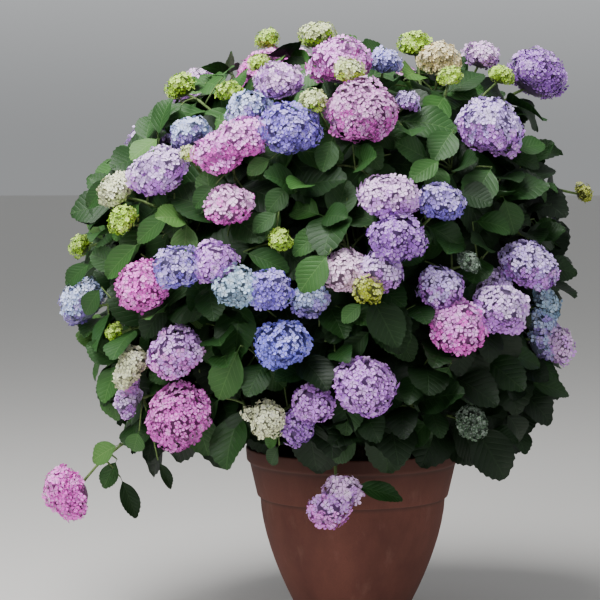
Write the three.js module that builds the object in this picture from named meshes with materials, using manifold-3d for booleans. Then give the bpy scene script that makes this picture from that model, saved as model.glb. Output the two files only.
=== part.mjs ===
// A mophead hydrangea in full summer flower, growing in a terracotta pot.
// Millimetres, +Z up. The origin is the middle of the pot's flat underside, and the side
// that the photograph shows faces -Y.
//
// A short woody stool stands in the compost. One cane leaves it for each mass of foliage,
// and runs on inside the mass as its stem. From that stem grow the flowering shoots, each
// ending in a round flower head, and the leafy shoots between them. Leaves stand on every
// shoot in opposite pairs, each pair turned a quarter from the last.
import * as THREE from 'three';
import { mergeVertices } from 'three/addons/utils/BufferGeometryUtils.js';
import Module from 'manifold-3d';

const wasm = await Module();
wasm.setup();

// The pot, with a collar round its upper part and a bead round the collar's rim. A wall
// with a swell of 1 would be straight, and one with more is fuller in its upper part.
const POT_HEIGHT = 430;
const POT_SIDES = 32;
const WALL_RINGS = 4;
const OUTER_SWELL = 1.65;
const INNER_SWELL = 1.6;
const RIM_RADIUS = 252;
const FOOT_RADIUS = 106;
const NECK_RADIUS = 218;
const COLLAR_HEIGHT = 116;
const COLLAR_FOOT_RADIUS = 222;
const BEAD_HEIGHT = 32;
const BEAD_PROUD = 7;
const FLOOR = 17;
const INNER_RIM_RADIUS = 232;
const INNER_FOOT_RADIUS = 99;
const ROUNDING = 5;
const SOIL_BELOW_RIM = 34;
const SOIL_EDGE_RADIUS = 217;
const SOIL_CROWN = 8;
const SOIL_SHOULDER = 60;

// The woody stool, and the canes that leave it, one for each mass. A cane and the stem of
// its mass are one line, and CANE_SHARE of it is the cane.
const STOOL_RADIUS = 64;
const STOOL_SKIRT = 12;
const STOOL_FLARE = 6;
const STOOL_SIDES = 12;
const STOOL_BANDS = 4;
const CANE_RADII = [8.5, 5.4];
const CANE_SIDES = 5;
const CANE_STEPS = 5;
const CANE_SHARE = 0.62;
const CANE_SINK = 7;
const LEAST_CANE_RISE = 0.5;
const LEAST_CANE_TURN = 0.4;
const SPREADING_ROUNDS = 60;
const STEM_RADII = [5.4, 4.2];
const STEM_SIDES = 5;
const STEM_STEPS = 3;

// Shoots, which leave the buds along a stem
const SHOOT_RADII = [4.2, 3];
const SHOOT_SIDES = 3;
const SHOOT_STEPS = 2;
const SHOOT_BUDS = 14;
const BUD_STRIDE = 5;
const FIRST_BUD = 0.66;
const LAST_BUD = 0.995;
const SHOOT_LEAVING = 0.16;
const SHOOT_TURNING = 0.45;
// How far a shoot's line may bend up and aside, as shares of its length, in order of trial
const SHOOT_BENDS = [
  [0.14, 0],
  [0.3, 0],
  [0.05, 0.2],
  [0.05, -0.2],
  [0, 0],
  [0.3, 0.35],
  [0.3, -0.35],
  [-0.14, 0],
  [0.55, 0],
];

// A leaf, with its outline and set as shares of its length
const LEAF_LENGTHS = [138, 176];
const LEAF_BREADTH = 0.64;
const LEAF_WIDEST = 0.44;
const LEAF_FOLD = 0.05;
const LEAF_DROOP = 0.09;
const LEAF_THICKNESS = 3.2;
const LEAF_ROOT = 0.4;
// Which way a leaf points, from its shoot's side, along the shoot, outwards and down
const LEAF_LEAN = { side: 0.9, shoot: 0.35, outward: 0.3, down: 0.22 };
const LEAF_FACING_OUT = 0.7;
const LEAF_TWISTS = [0, 0.5, -0.5, 1];
// How far along a shoot its pairs of leaves stand
const FLOWERING_PAIRS = [0.7];
const LEAFY_PAIRS = [0.98, 0.66];

// A flower head, as shares of its breadth
const HEAD_RISE = 0.4;
const HEAD_DEPTH = 0.32;
const HEAD_SEAT = 0.16;
const HEAD_UNEVEN = [0.93, 1.05];
const HEAD_LIFT = 0.5;
// The sides and bands of a head's facets, by the least breadth that has them
const HEAD_FACETS = [[118, 8, 4], [80, 7, 3], [0, 6, 3]];
// A mass's heart stands out to this share of the way to its heads, and clear of the rim
const HEART_SHARE = 0.62;
const HEART_LIFT = 44;
const HEART_OVER_RIM = 65;
const HEART_PAST_RIM = 20;

// The crown, as a rounded block about its middle
const CROWN_MIDDLE = new THREE.Vector3(-72, 0, 806);
const CROWN_REACH = new THREE.Vector3(572, 470, 585);
const CROWN_SQUARENESS = 2.5;
const CROWN_HEM = -0.62;

// The point from which the flower heads' places were judged, in front of the pot
const EYE = new THREE.Vector3(-124, -4800, 1100);

const GAP = 0.3;
const TEST_MARGIN = 0.9;
const LEAST_EDGE = 0.04;
const SEED = 20260;
const UP = new THREE.Vector3(0, 0, 1);

// The masses of foliage that show, each with its flower heads: how far across from the
// pot's middle and how far up from the ground a head shows in the upright plane through
// the pot, its breadth, and, where it stands off the crown's surface, how far forward.
const SHOWN_MASSES = {
  trailing_left: [[-672, 318, 125, 60]],
  skirt_left: [
    [-412, 499, 150, 40],
    [-415, 648, 125],
    [-518, 622, 82],
    [-528, 535, 76],
  ],
  side_left: [
    [-487, 806, 134],
    [-366, 852, 150, 20],
    [-632, 768, 122],
    [-236, 800, 140, 10],
  ],
  shoulder_left: [
    [-452, 1072, 138],
    [-553, 1028, 94],
    [-538, 960, 76],
    [-291, 996, 104],
    [-286, 1132, 148],
    [-382, 1160, 100, -110],
  ],
  top_left: [
    [-242, 1216, 104, -70],
    [-146, 1170, 138],
    [-172, 1282, 116, -40],
    [-402, 1270, 76, -160],
  ],
  top_middle: [
    [-82, 1386, 88, -60],
    [-30, 1326, 146],
    [74, 1328, 80, -20],
    [20, 1212, 164, 20],
  ],
  top_right: [
    [142, 1368, 84, -40],
    [198, 1332, 104],
    [298, 1340, 84],
    [428, 1296, 152],
    [322, 1174, 152],
  ],
  middle: [
    [82, 1012, 130, -10],
    [100, 916, 126, 30],
    [206, 1000, 104],
    [22, 840, 146],
    [42, 784, 76, 44],
    [-100, 776, 90, -30],
  ],
  side_right: [
    [400, 850, 146, -10],
    [350, 750, 130, 40],
    [206, 802, 104, -20],
    [246, 712, 130, 10],
    [452, 766, 76, -20],
    [462, 684, 118],
  ],
  front_low: [
    [-164, 667, 124],
    [28, 568, 140, 20],
    [-92, 528, 92, 10],
    [-200, 490, 84],
  ],
  over_rim: [[-40, 296, 116, 76]],
  low_right: [[278, 482, 82, -40]],
};

// The far side of the crown, which the photograph doesn't show: a mass about each bearing
// (0 to the right, 90 to the back) and rise from the crown's middle, in degrees, with
// heads spread evenly among them.
const FAR_MASSES = [
  ['far_right', 14, 14],
  ['far_right_low', 30, -30],
  ['back_right', 52, 34],
  ['back_low', 88, -32],
  ['back_middle', 96, 8],
  ['back_top', 84, 70],
  ['back_left_low', 138, -28],
  ['back_left', 150, 12],
  ['back_left_top', 128, 46],
];
const FAR_HEADS = 66;
const FAR_HEAD_BREADTH = [84, 152];
// No head stands ahead of FAR_HEAD_START, and up to FAR_HEAD_LIMB they keep within the crown,
// so that none shows beyond its outline from the front.
const FAR_HEAD_START = 40;
const FAR_HEAD_LIMB = 220;
const FAR_LIMB_DEPTH = 0.86;
const FAR_HEAD_ROOM = 14;
const GOLDEN_TURN = Math.PI * (3 - Math.sqrt(5));

// Leafy shoots are tried at this many even places over the whole crown.
const LEAFY_PLACES = 150;
const LEAFY_DEPTH = 0.87;
const LEAFY_CLEARANCE = 88;

function seeded(seed) {
  let state = seed;
  return () => {
    state = (Math.imul(state, 1664525) + 1013904223) >>> 0;
    return state / 2 ** 32;
  };
}

const vector = (x, y, z) => new THREE.Vector3(x, y, z);
const mix = (a, b, share) => a + (b - a) * share;

// A closed geometry as a solid that can be joined and cut
function solidOf(geometry) {
  const bare = geometry.clone();
  bare.deleteAttribute('normal');
  bare.deleteAttribute('uv');
  const merged = mergeVertices(bare, 1e-4);
  return new wasm.Manifold(new wasm.Mesh({
    numProp: 3,
    vertProperties: merged.attributes.position.array,
    triVerts: new Uint32Array(merged.index.array),
  }));
}

function geometryOf(solid) {
  const mesh = solid.getMesh();
  const geometry = new THREE.BufferGeometry();
  geometry.setAttribute('position', new THREE.BufferAttribute(mesh.vertProperties, 3));
  geometry.setIndex(new THREE.BufferAttribute(mesh.triVerts, 1));
  return geometry;
}

// Moves every point of a geometry by a function of where it was
function reshaped(geometry, move) {
  const place = geometry.attributes.position;
  const point = new THREE.Vector3();
  for (let i = 0; i < place.count; i += 1) {
    point.fromBufferAttribute(place, i);
    place.setXYZ(i, ...move(point).toArray());
  }
  return geometry;
}

// A closed rod along part of a curve, tapering from one radius to the other
function rod(curve, [from, to], [firstRadius, lastRadius], sides, steps) {
  const centres = [];
  for (let i = 0; i <= steps; i += 1) centres.push(curve.getPointAt(mix(from, to, i / steps)));
  const frames = new THREE.CatmullRomCurve3(centres).computeFrenetFrames(steps, false);
  return reshaped(new THREE.CylinderGeometry(1, 1, 1, sides, steps), (point) => {
    const step = Math.round((point.y + 0.5) * steps);
    const radius = mix(firstRadius, lastRadius, step / steps);
    return centres[step].clone()
      .addScaledVector(frames.normals[step], point.x * radius)
      .addScaledVector(frames.binormals[step], -point.z * radius);
  });
}

// A leaf of eight faces, folded a little along its midrib, from its root to its tip
function leaf(root, along, face, length, margin = 0) {
  const across = new THREE.Vector3().crossVectors(along, face).normalize();
  const half = (length * LEAF_BREADTH) / 2 + margin;
  const thick = LEAF_THICKNESS / 2 + margin;
  return reshaped(new THREE.OctahedronGeometry(1, 0), (corner) => {
    const place = root.clone();
    if (corner.y > 0) {
      place.addScaledVector(along, length + margin).addScaledVector(face, -length * LEAF_DROOP);
    } else if (corner.y < 0) {
      place.addScaledVector(along, LEAF_ROOT);
    } else {
      place.addScaledVector(along, length * LEAF_WIDEST);
      place.addScaledVector(across, corner.x * half).addScaledVector(face, corner.z * thick);
      place.addScaledVector(face, Math.abs(corner.x) * length * LEAF_FOLD);
    }
    return place;
  });
}

// A round flower head, flatter underneath, about its middle
function flowerHead({ place, axis, breadth }, random) {
  const [, sides, bands] = HEAD_FACETS.find(([least]) => breadth >= least);
  const turn = new THREE.Quaternion().setFromUnitVectors(vector(0, 1, 0), axis);
  const bumps = Array.from({ length: sides }, () => mix(...HEAD_UNEVEN, random()));
  return reshaped(new THREE.SphereGeometry(breadth / 2, sides, bands), (point) => {
    const turned = Math.atan2(point.z, point.x) / (2 * Math.PI);
    const bump = bumps[(Math.round(turned * sides) + sides) % sides];
    const height = point.y > 0 ? HEAD_RISE : HEAD_DEPTH;
    return vector(point.x * bump, point.y * height * 2, point.z * bump)
      .applyQuaternion(turn).add(place);
  });
}

// A solid turned about the pot's axis from its outline, as [radius, height] corners
function turned(outline, sides) {
  const points = outline.map(([radius, height]) => new THREE.Vector2(radius, height));
  return new THREE.LatheGeometry(points, sides).rotateX(Math.PI / 2);
}

// The corners of a wall from its foot to its top, which swells in between
function wall([foot, low], [top, high], swell) {
  return Array.from({ length: WALL_RINGS + 1 }, (_, ring) => {
    const share = ring / WALL_RINGS;
    return [mix(foot, top, 1 - (1 - share) ** swell), mix(low, high, share)];
  });
}

const SOIL_EDGE_HEIGHT = POT_HEIGHT - SOIL_BELOW_RIM;
const SOIL_TOP = SOIL_EDGE_HEIGHT + SOIL_CROWN;

// The inside of the pot up to the compost's edge, less a gap
function innerWall(gap = 0) {
  return wall(
    [INNER_FOOT_RADIUS - gap * 2, FLOOR + gap],
    [SOIL_EDGE_RADIUS - gap * 2, SOIL_EDGE_HEIGHT],
    INNER_SWELL,
  );
}

// The pot: its underside, up the outside over collar and bead, and down the inside
function pot() {
  const collarFoot = POT_HEIGHT - COLLAR_HEIGHT;
  const beadFoot = POT_HEIGHT - BEAD_HEIGHT;
  return turned([
    [0, 0],
    [FOOT_RADIUS - ROUNDING, 0],
    [FOOT_RADIUS, ROUNDING],
    ...wall([FOOT_RADIUS, 0], [NECK_RADIUS, collarFoot], OUTER_SWELL).slice(1),
    [COLLAR_FOOT_RADIUS, collarFoot],
    [RIM_RADIUS - ROUNDING / 2 - BEAD_PROUD, beadFoot - ROUNDING],
    [RIM_RADIUS - ROUNDING / 2, beadFoot],
    [RIM_RADIUS, POT_HEIGHT - ROUNDING],
    [RIM_RADIUS - ROUNDING, POT_HEIGHT],
    [INNER_RIM_RADIUS + ROUNDING / 2, POT_HEIGHT],
    [INNER_RIM_RADIUS, POT_HEIGHT - ROUNDING],
    ...innerWall().reverse(),
    [0, FLOOR],
  ], POT_SIDES);
}

// The compost fills the pot to below its rim, and is raised a little round the stool
function compost() {
  return turned([
    [0, FLOOR + GAP],
    ...innerWall(GAP),
    [SOIL_EDGE_RADIUS - SOIL_SHOULDER, SOIL_TOP],
    [0, SOIL_TOP],
  ], POT_SIDES);
}

const STOOL_FOOT = vector(0, 0, SOIL_TOP + GAP);

// The stool: a dome of old wood on a flat cut, flared where it meets the compost. It can
// be made larger all round by a margin.
function stool(margin = 0) {
  const radius = STOOL_RADIUS + margin;
  const outline = [[0, STOOL_FOOT.z - margin], [radius + STOOL_SKIRT, STOOL_FOOT.z - margin]];
  for (let band = 0; band < STOOL_BANDS; band += 1) {
    const share = (band + 0.8) / STOOL_BANDS;
    const angle = share * (Math.PI / 2);
    const flare = STOOL_FLARE * (1 - share) ** 2;
    outline.push([radius * Math.cos(angle) + flare, STOOL_FOOT.z + radius * Math.sin(angle)]);
  }
  outline.push([0, STOOL_FOOT.z + radius]);
  return turned(outline, STOOL_SIDES);
}

// How full the crown is at a point measured from its middle, with 1 on its surface
function fullness({ x, y, z }) {
  const side = Math.abs(x / CROWN_REACH.x) ** CROWN_SQUARENESS;
  const rise = Math.abs(z / CROWN_REACH.z) ** CROWN_SQUARENESS;
  return side + rise + (y / CROWN_REACH.y) ** 2;
}

// The place of a head that shows at (across, up) in the upright plane through the pot's
// middle: it is on the crown's surface, along the line of sight, or off it by a nudge
function shownPlace(across, up, nudge = 0) {
  const inPlane = vector(across, 0, up);
  const left = 1 - fullness(inPlane.clone().sub(CROWN_MIDDLE));
  const forward = CROWN_REACH.y * Math.sqrt(Math.max(left, 0)) + nudge;
  return inPlane.lerp(EYE, forward / -EYE.y);
}

// The point on the crown's surface in a direction from its middle, or a share of the way
function crownPlace(way, share = 1) {
  let [near, far] = [0, CROWN_REACH.length()];
  while (far - near > 0.1) {
    const half = (near + far) / 2;
    if (fullness(way.clone().multiplyScalar(half)) < 1) near = half;
    else far = half;
  }
  return CROWN_MIDDLE.clone().addScaledVector(way, near * share);
}

function wayAt(bearing, sine) {
  const level = Math.sqrt(1 - sine * sine);
  return vector(Math.cos(bearing) * level, Math.sin(bearing) * level, sine);
}

// Even directions from the crown's middle, from its hem to its top, by the golden turn
function evenWays(count) {
  return Array.from({ length: count }, (_, i) => (
    wayAt(i * GOLDEN_TURN, mix(CROWN_HEM, 1, (i + 0.5) / count))));
}

function nearest(places, point) {
  const far = places.map((place) => place.distanceTo(point));
  return far.indexOf(Math.min(...far));
}

// Every mass with its name and the places and breadths of its heads
function plannedMasses() {
  const random = seeded(SEED);
  const masses = Object.entries(SHOWN_MASSES).map(([name, rows]) => ({
    name,
    heads: rows.map(([across, up, breadth, nudge]) => (
      { place: shownPlace(across, up, nudge), breadth })),
  }));
  const far = FAR_MASSES.map(([name, bearing, rise]) => {
    const [turn, lift] = [bearing, rise].map(THREE.MathUtils.degToRad);
    return { name, heads: [], seat: crownPlace(wayAt(turn, Math.sin(lift))) };
  });
  const seats = far.map((mass) => mass.seat);
  const shown = masses.flatMap((mass) => mass.heads);
  for (const way of evenWays(FAR_HEADS)) {
    const breadth = mix(...FAR_HEAD_BREADTH, Math.sqrt(random()));
    const onLimb = crownPlace(way).y < FAR_HEAD_LIMB;
    const place = crownPlace(way, onLimb ? FAR_LIMB_DEPTH : 1);
    const clear = shown.every((head) => (
      head.place.distanceTo(place) > (head.breadth + breadth) / 2 + FAR_HEAD_ROOM));
    if (clear && place.y > FAR_HEAD_START) far[nearest(seats, place)].heads.push({ place, breadth });
  }
  return [...masses, ...far];
}

// Turns directions from the stool apart until no two canes would touch at its surface
function spreadOut(directions) {
  for (let round = 0; round < SPREADING_ROUNDS; round += 1) {
    directions.forEach((a, i) => directions.slice(i + 1).forEach((b) => {
      const apart = a.angleTo(b);
      if (apart < LEAST_CANE_TURN) {
        const push = a.clone().sub(b).multiplyScalar((LEAST_CANE_TURN - apart) / 2 / apart);
        a.add(push).normalize();
        b.sub(push).normalize();
      }
    }));
    directions.forEach((way) => {
      const level = Math.hypot(way.x, way.y);
      if (way.z / level < LEAST_CANE_RISE) way.setZ(level * LEAST_CANE_RISE).normalize();
    });
  }
}

// A mass's heart, from which its shoots spread: part of the way out to its heads, and for
// heads that hang below the rim, beyond the rim and above it
function heartOf(heads) {
  const middle = heads.reduce((sum, head) => sum.add(head.place), vector(0, 0, 0));
  middle.divideScalar(heads.length);
  const heart = STOOL_FOOT.clone().lerp(middle, HEART_SHARE).addScaledVector(UP, HEART_LIFT);
  heart.z = Math.max(heart.z, POT_HEIGHT + HEART_OVER_RIM);
  const reach = Math.hypot(heart.x, heart.y);
  if (middle.z < POT_HEIGHT && reach < RIM_RADIUS + HEART_PAST_RIM) {
    const outward = (RIM_RADIUS + HEART_PAST_RIM) / reach;
    heart.multiply(vector(outward, outward, 1));
  }
  return heart;
}

// The one line that a cane and the stem of its mass follow, from the stool to the heart
function leadLines(masses) {
  masses.forEach((mass) => {
    mass.heart = heartOf(mass.heads);
    mass.way = mass.heart.clone().sub(STOOL_FOOT).normalize();
  });
  spreadOut(masses.map((mass) => mass.way));
  masses.forEach((mass) => {
    const foot = STOOL_FOOT.clone().addScaledVector(mass.way, STOOL_RADIUS - CANE_SINK);
    const bend = foot.clone().addScaledVector(mass.way, foot.distanceTo(mass.heart) * 0.5);
    mass.lead = new THREE.QuadraticBezierCurve3(foot, bend, mass.heart);
  });
}

// The solids placed so far, each with what it belongs to
class Space {
  constructor() {
    this.held = [];
  }

  add(solid, owner) {
    this.held.push({ solid, owner, box: solid.boundingBox() });
  }

  drop(owner) {
    this.held = this.held.filter((piece) => piece.owner !== owner);
  }

  // True if a solid touches nothing, apart from what belongs to the owners allowed
  clear(solid, allowed) {
    const { min, max } = solid.boundingBox();
    return this.held.every(({ solid: other, owner, box }) => (
      allowed.includes(owner)
      || min.some((low, i) => low > box.max[i])
      || max.some((high, i) => high < box.min[i])
      || solid.intersect(other).isEmpty()
    ));
  }
}

// The line of a shoot: out along its stem, then up or aside, and over to its end
function shootLine(from, way, end, [lift, aside]) {
  const apart = from.distanceTo(end);
  const level = new THREE.Vector3().crossVectors(UP, end.clone().sub(from)).normalize();
  const bend = from.clone().lerp(end, SHOOT_TURNING);
  bend.addScaledVector(way, apart * SHOOT_LEAVING);
  bend.addScaledVector(UP, apart * lift).addScaledVector(level, apart * aside);
  return new THREE.QuadraticBezierCurve3(from, bend, end);
}

// A shoot from the mass's stem to an end point, by the first bud and bend with which it
// touches nothing but its stem and what is allowed
function growShoot(mass, space, end, turn, allowed) {
  const label = `${mass.name} shoot ${mass.shoots}`;
  const grown = SHOOT_RADII.map((radius) => radius + TEST_MARGIN);
  for (const bend of SHOOT_BENDS) {
    for (let i = 0; i < SHOOT_BUDS; i += 1) {
      const bud = (turn * BUD_STRIDE + i) % SHOOT_BUDS;
      const share = mix(LAST_BUD, FIRST_BUD, bud / SHOOT_BUDS);
      const way = mass.lead.getTangentAt(share);
      const line = shootLine(mass.lead.getPointAt(share), way, end, bend);
      const test = solidOf(rod(line, [0, 1], grown, SHOOT_SIDES, SHOOT_STEPS));
      if (space.clear(test, [`${mass.name} stem`, ...allowed])) {
        const solid = solidOf(rod(line, [0, 1], SHOOT_RADII, SHOOT_SIDES, SHOOT_STEPS));
        space.add(solid, label);
        mass.pieces.push(solid);
        mass.shoots += 1;
        return { mass, label, knots: [0, 0.5, 1].map((at) => line.getPointAt(at)) };
      }
    }
  }
  return null;
}

// One opposite pair of leaves at a place along a shoot. A leaf that would touch anything
// but its own shoot is turned a little and tried again, and then left out.
function growPair(space, shoot, share, turn, length) {
  const half = share > 0.5 ? 1 : 0;
  const [near, far] = [shoot.knots[half], shoot.knots[half + 1]];
  const node = near.clone().lerp(far, share * 2 - half);
  const axis = far.clone().sub(near).normalize();
  const outward = node.clone().sub(STOOL_FOOT).setZ(0).normalize();
  const side = new THREE.Vector3().crossVectors(axis, UP).normalize();
  const pair = `${shoot.label} pair ${share}`;
  for (const opposite of [0, Math.PI]) {
    for (const twist of LEAF_TWISTS) {
      const along = side.clone().applyAxisAngle(axis, turn + opposite + twist);
      along.multiplyScalar(LEAF_LEAN.side).addScaledVector(axis, LEAF_LEAN.shoot);
      along.addScaledVector(outward, LEAF_LEAN.outward).addScaledVector(UP, -LEAF_LEAN.down);
      along.normalize();
      const face = UP.clone().addScaledVector(outward, LEAF_FACING_OUT);
      face.addScaledVector(along, -face.dot(along)).normalize();
      const test = solidOf(leaf(node, along, face, length, TEST_MARGIN));
      if (space.clear(test, [shoot.label, pair])) {
        const solid = solidOf(leaf(node, along, face, length));
        space.add(solid, pair);
        shoot.mass.pieces.push(solid);
        break;
      }
    }
  }
}

function growStem(mass, space) {
  const entry = CANE_SHARE + (GAP * 2) / mass.lead.getLength();
  const stem = solidOf(rod(mass.lead, [entry, 1], STEM_RADII, STEM_SIDES, STEM_STEPS));
  mass.pieces = [stem];
  mass.shoots = 0;
  space.add(stem, `${mass.name} stem`);
}

function growHead(mass, space, head, label, random) {
  head.label = label;
  head.axis = head.place.clone().sub(mass.heart).normalize();
  head.axis.addScaledVector(UP, HEAD_LIFT).normalize();
  head.solid = solidOf(flowerHead(head, random));
  mass.pieces.push(head.solid);
  space.add(head.solid, label);
}

// The shoot under a flower head. A head that no shoot can reach is taken away again.
function growFloweringShoot(mass, space, head, turn) {
  const end = head.place.clone().addScaledVector(head.axis, -head.breadth * HEAD_SEAT);
  const ownHeads = mass.heads.map((other) => other.label);
  const shoot = growShoot(mass, space, end, turn, [head.label])
    ?? growShoot(mass, space, end, turn, ownHeads);
  if (!shoot) {
    mass.pieces = mass.pieces.filter((piece) => piece !== head.solid);
    space.drop(head.label);
  }
  return shoot;
}

// A leafy shoot from the nearest mass to a place, where no flower head takes up the room
function growLeafyShoot(masses, space, place, turn) {
  const heads = masses.flatMap((mass) => mass.heads);
  if (heads.some((head) => head.place.distanceTo(place) < LEAFY_CLEARANCE)) return null;
  const mass = masses[nearest(masses.map(({ heart }) => heart), place)];
  return growShoot(mass, space, place, turn, []);
}

// The foliage of every mass: stems, heads and flowering shoots first, then leafy shoots
// in the gaps, and leaves last, so that each finds what room is left
function growMasses(masses, space) {
  const random = seeded(SEED + 1);
  masses.forEach((mass) => growStem(mass, space));
  masses.forEach((mass) => mass.heads.forEach((head, i) => (
    growHead(mass, space, head, `${mass.name} head ${i}`, random))));
  const flowering = masses.flatMap((mass) => mass.heads.map((head, i) => (
    growFloweringShoot(mass, space, head, i))));
  const leafy = evenWays(LEAFY_PLACES).map((way, i) => (
    growLeafyShoot(masses, space, crownPlace(way, LEAFY_DEPTH), i)));
  const growLeaves = (pairs) => (shoot) => pairs.forEach((share, i) => {
    const length = mix(...LEAF_LENGTHS, random());
    growPair(space, shoot, share, (i * Math.PI) / 2 + random(), length);
  });
  flowering.filter(Boolean).forEach(growLeaves(FLOWERING_PAIRS));
  leafy.filter(Boolean).forEach(growLeaves(LEAFY_PAIRS));
}

// A mass's pieces fused into one body, whose edges that are shorter than can be made out
// are taken out. A scrap that isn't joined to the rest is dropped.
function fused(mass) {
  const bodies = wasm.Manifold.union(mass.pieces).decompose();
  bodies.sort((a, b) => b.volume() - a.volume());
  return geometryOf(bodies[0].asOriginal().simplify(LEAST_EDGE));
}

const plant = new THREE.Group();

function put(name, geometry, color, roughness) {
  const material = new THREE.MeshStandardMaterial({ color, roughness, metalness: 0 });
  const mesh = new THREE.Mesh(geometry, material);
  mesh.name = name;
  plant.add(mesh);
}

const TERRACOTTA = 0x9a5840;
const COMPOST = 0x2e241c;
const BARK = 0x7b6248;
const LEAF_GREEN = 0x3f6b35;

put('pot', pot(), TERRACOTTA, 0.85);
put('compost', compost(), COMPOST, 1);
put('stool', stool(), BARK, 0.9);

const masses = plannedMasses();
leadLines(masses);
const space = new Space();
space.add(solidOf(pot()), 'pot');
space.add(solidOf(compost()), 'compost');
space.add(solidOf(stool()), 'stool');
const stoolRoom = solidOf(stool(GAP));
for (const mass of masses) {
  const whole = solidOf(rod(mass.lead, [0, CANE_SHARE], CANE_RADII, CANE_SIDES, CANE_STEPS));
  const cane = whole.subtract(stoolRoom);
  space.add(cane, `${mass.name} cane`);
  put(`cane_${mass.name}`, geometryOf(cane), BARK, 0.9);
}
growMasses(masses, space);
for (const mass of masses) put(`foliage_${mass.name}`, fused(mass), LEAF_GREEN, 0.6);

export default plant;
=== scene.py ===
import math

import bmesh
import bpy
import numpy as np
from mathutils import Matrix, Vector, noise


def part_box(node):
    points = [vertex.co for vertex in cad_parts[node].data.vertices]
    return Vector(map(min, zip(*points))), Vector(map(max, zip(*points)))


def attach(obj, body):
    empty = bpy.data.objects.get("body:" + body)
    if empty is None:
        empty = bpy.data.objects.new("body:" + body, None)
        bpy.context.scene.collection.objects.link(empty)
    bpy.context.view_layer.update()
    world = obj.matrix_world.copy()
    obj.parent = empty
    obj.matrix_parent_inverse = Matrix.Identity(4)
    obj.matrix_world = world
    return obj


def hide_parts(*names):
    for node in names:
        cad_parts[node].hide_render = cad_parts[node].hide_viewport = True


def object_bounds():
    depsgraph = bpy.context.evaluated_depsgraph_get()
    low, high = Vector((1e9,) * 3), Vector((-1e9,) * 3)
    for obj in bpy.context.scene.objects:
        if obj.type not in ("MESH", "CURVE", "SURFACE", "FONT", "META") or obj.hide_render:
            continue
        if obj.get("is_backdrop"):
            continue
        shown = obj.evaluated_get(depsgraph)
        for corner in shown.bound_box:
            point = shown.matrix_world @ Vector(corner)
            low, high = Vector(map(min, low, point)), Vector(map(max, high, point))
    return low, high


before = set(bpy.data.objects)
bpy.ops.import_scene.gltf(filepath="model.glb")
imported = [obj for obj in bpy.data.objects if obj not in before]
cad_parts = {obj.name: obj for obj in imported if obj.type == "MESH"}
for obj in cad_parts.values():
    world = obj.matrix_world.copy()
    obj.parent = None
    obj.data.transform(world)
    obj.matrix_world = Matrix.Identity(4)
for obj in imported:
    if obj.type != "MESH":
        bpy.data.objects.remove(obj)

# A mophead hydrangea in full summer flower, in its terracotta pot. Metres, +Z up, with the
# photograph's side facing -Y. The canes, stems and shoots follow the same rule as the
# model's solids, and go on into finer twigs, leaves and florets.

cad_low, cad_high = (np.array(corner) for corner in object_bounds())

MM = 0.001
UP = np.array([0.0, 0.0, 1.0])
SEED = 20260
# How the model draws its random numbers, each from the last
DRAW_FACTOR = 1664525
DRAW_STEP = 1013904223
DRAW_RANGE = 2 ** 32
GOLDEN_TURN = math.pi * (3 - math.sqrt(5))
ANY_TURN = 6.3
NEARLY_UP = (0.01, 0.02, 1.0)
WELD = 0.05 * MM
# A line's steps, the steps at which a rod takes its way, and how far to either side of a
# place the line's own way is taken, as a share of its length
LINE_STEPS = 200
WAY_STEPS = 40
WAY_REACH = 0.01

# The pot, with a collar round its upper part and a bead round the collar's rim
POT_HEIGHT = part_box("pot")[1].z
RIM_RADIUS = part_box("pot")[1].x
COLLAR_FOOT = POT_HEIGHT - 0.116
BEAD_FOOT = POT_HEIGHT - 0.032
FOOT_RADIUS = 0.106
NECK_RADIUS = 0.218
COLLAR_FOOT_RADIUS = 0.2245
BEAD_PROUD = 0.007
BEAD_SLOPE = 0.005
RIM_LEAN = 0.0025
POT_FLOOR = 0.017
INNER_RIM_RADIUS = 0.232
INNER_FOOT_RADIUS = 0.099
OUTER_SWELL = 1.65
INNER_SWELL = 1.6
CORNER_RADIUS = 0.0055
CORNER_SHARE = 0.45
CORNER_STEPS = 5
POT_SIDES = 120
WALL_RINGS = 10
POT_ROOM = 0.004
# The compost, which rises a little within its edge
SOIL_EDGE_HEIGHT = POT_HEIGHT - 0.034
SOIL_EDGE_RADIUS = 0.217
SOIL_GAP = 0.0005
SOIL_RISE = 0.008
SOIL_RINGS = 16
SLOPING_RINGS = 4
# Clods, inside the compost's edge: how high, and how many a metre
CLODS = ((0.007, 45), (0.003, 160))
CLODS_FROM_EDGE = 0.002
CLODS_FROM_TOP = 0.001

# The stool and the canes
STOOL_FOOT = np.array([0.0, 0.0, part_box("stool")[0].z])
STOOL_RADIUS = 0.064
STOOL_SINK = 0.002
STOOL_BANDS = 12
STOOL_SIDES = 40
STOOL_FLARE = 0.010
STOOL_SKIRT = 0.012
STOOL_RIDGES = 9
RIDGE_DEPTH = 0.05
RIDGE_WANDER = (3, 30)
STOOL_KNOTS = (0.08, 55)
CANE_RADII = (0.0085, 0.0054)
CANE_SHARE = 0.62
CANE_SINK = 0.007
LEAST_CANE_RISE = 0.5
LEAST_CANE_TURN = 0.4
SPREADING_ROUNDS = 60
STEM_RADII = (0.0054, 0.0042)
# The ridges and cracks of bark: how deep, and how many across a radius and along a rod. The
# stems' are numbered from STEM_KEYS, so that they differ from the canes'.
BARK_RIDGES = (0.10, 1.6, 9)
BARK_CRACKS = (0.06, 4, 30)
STEM_KEYS = 40
# A shoot's leaf joints: how much they swell, how many there are, and how long they are
JOINT_SWELL = 0.22
JOINTS = 4
JOINT_LENGTH = 0.12
# The sides and steps of each kind of rod, and a way that none follows
CANE_ROD = (9, 28)
STEM_ROD = (8, 10)
SHOOT_ROD = (6, 8)
TWIG_ROD = (4, 4)
ROD_ASIDE = (0.3, 0.2, 1.0)

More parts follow.
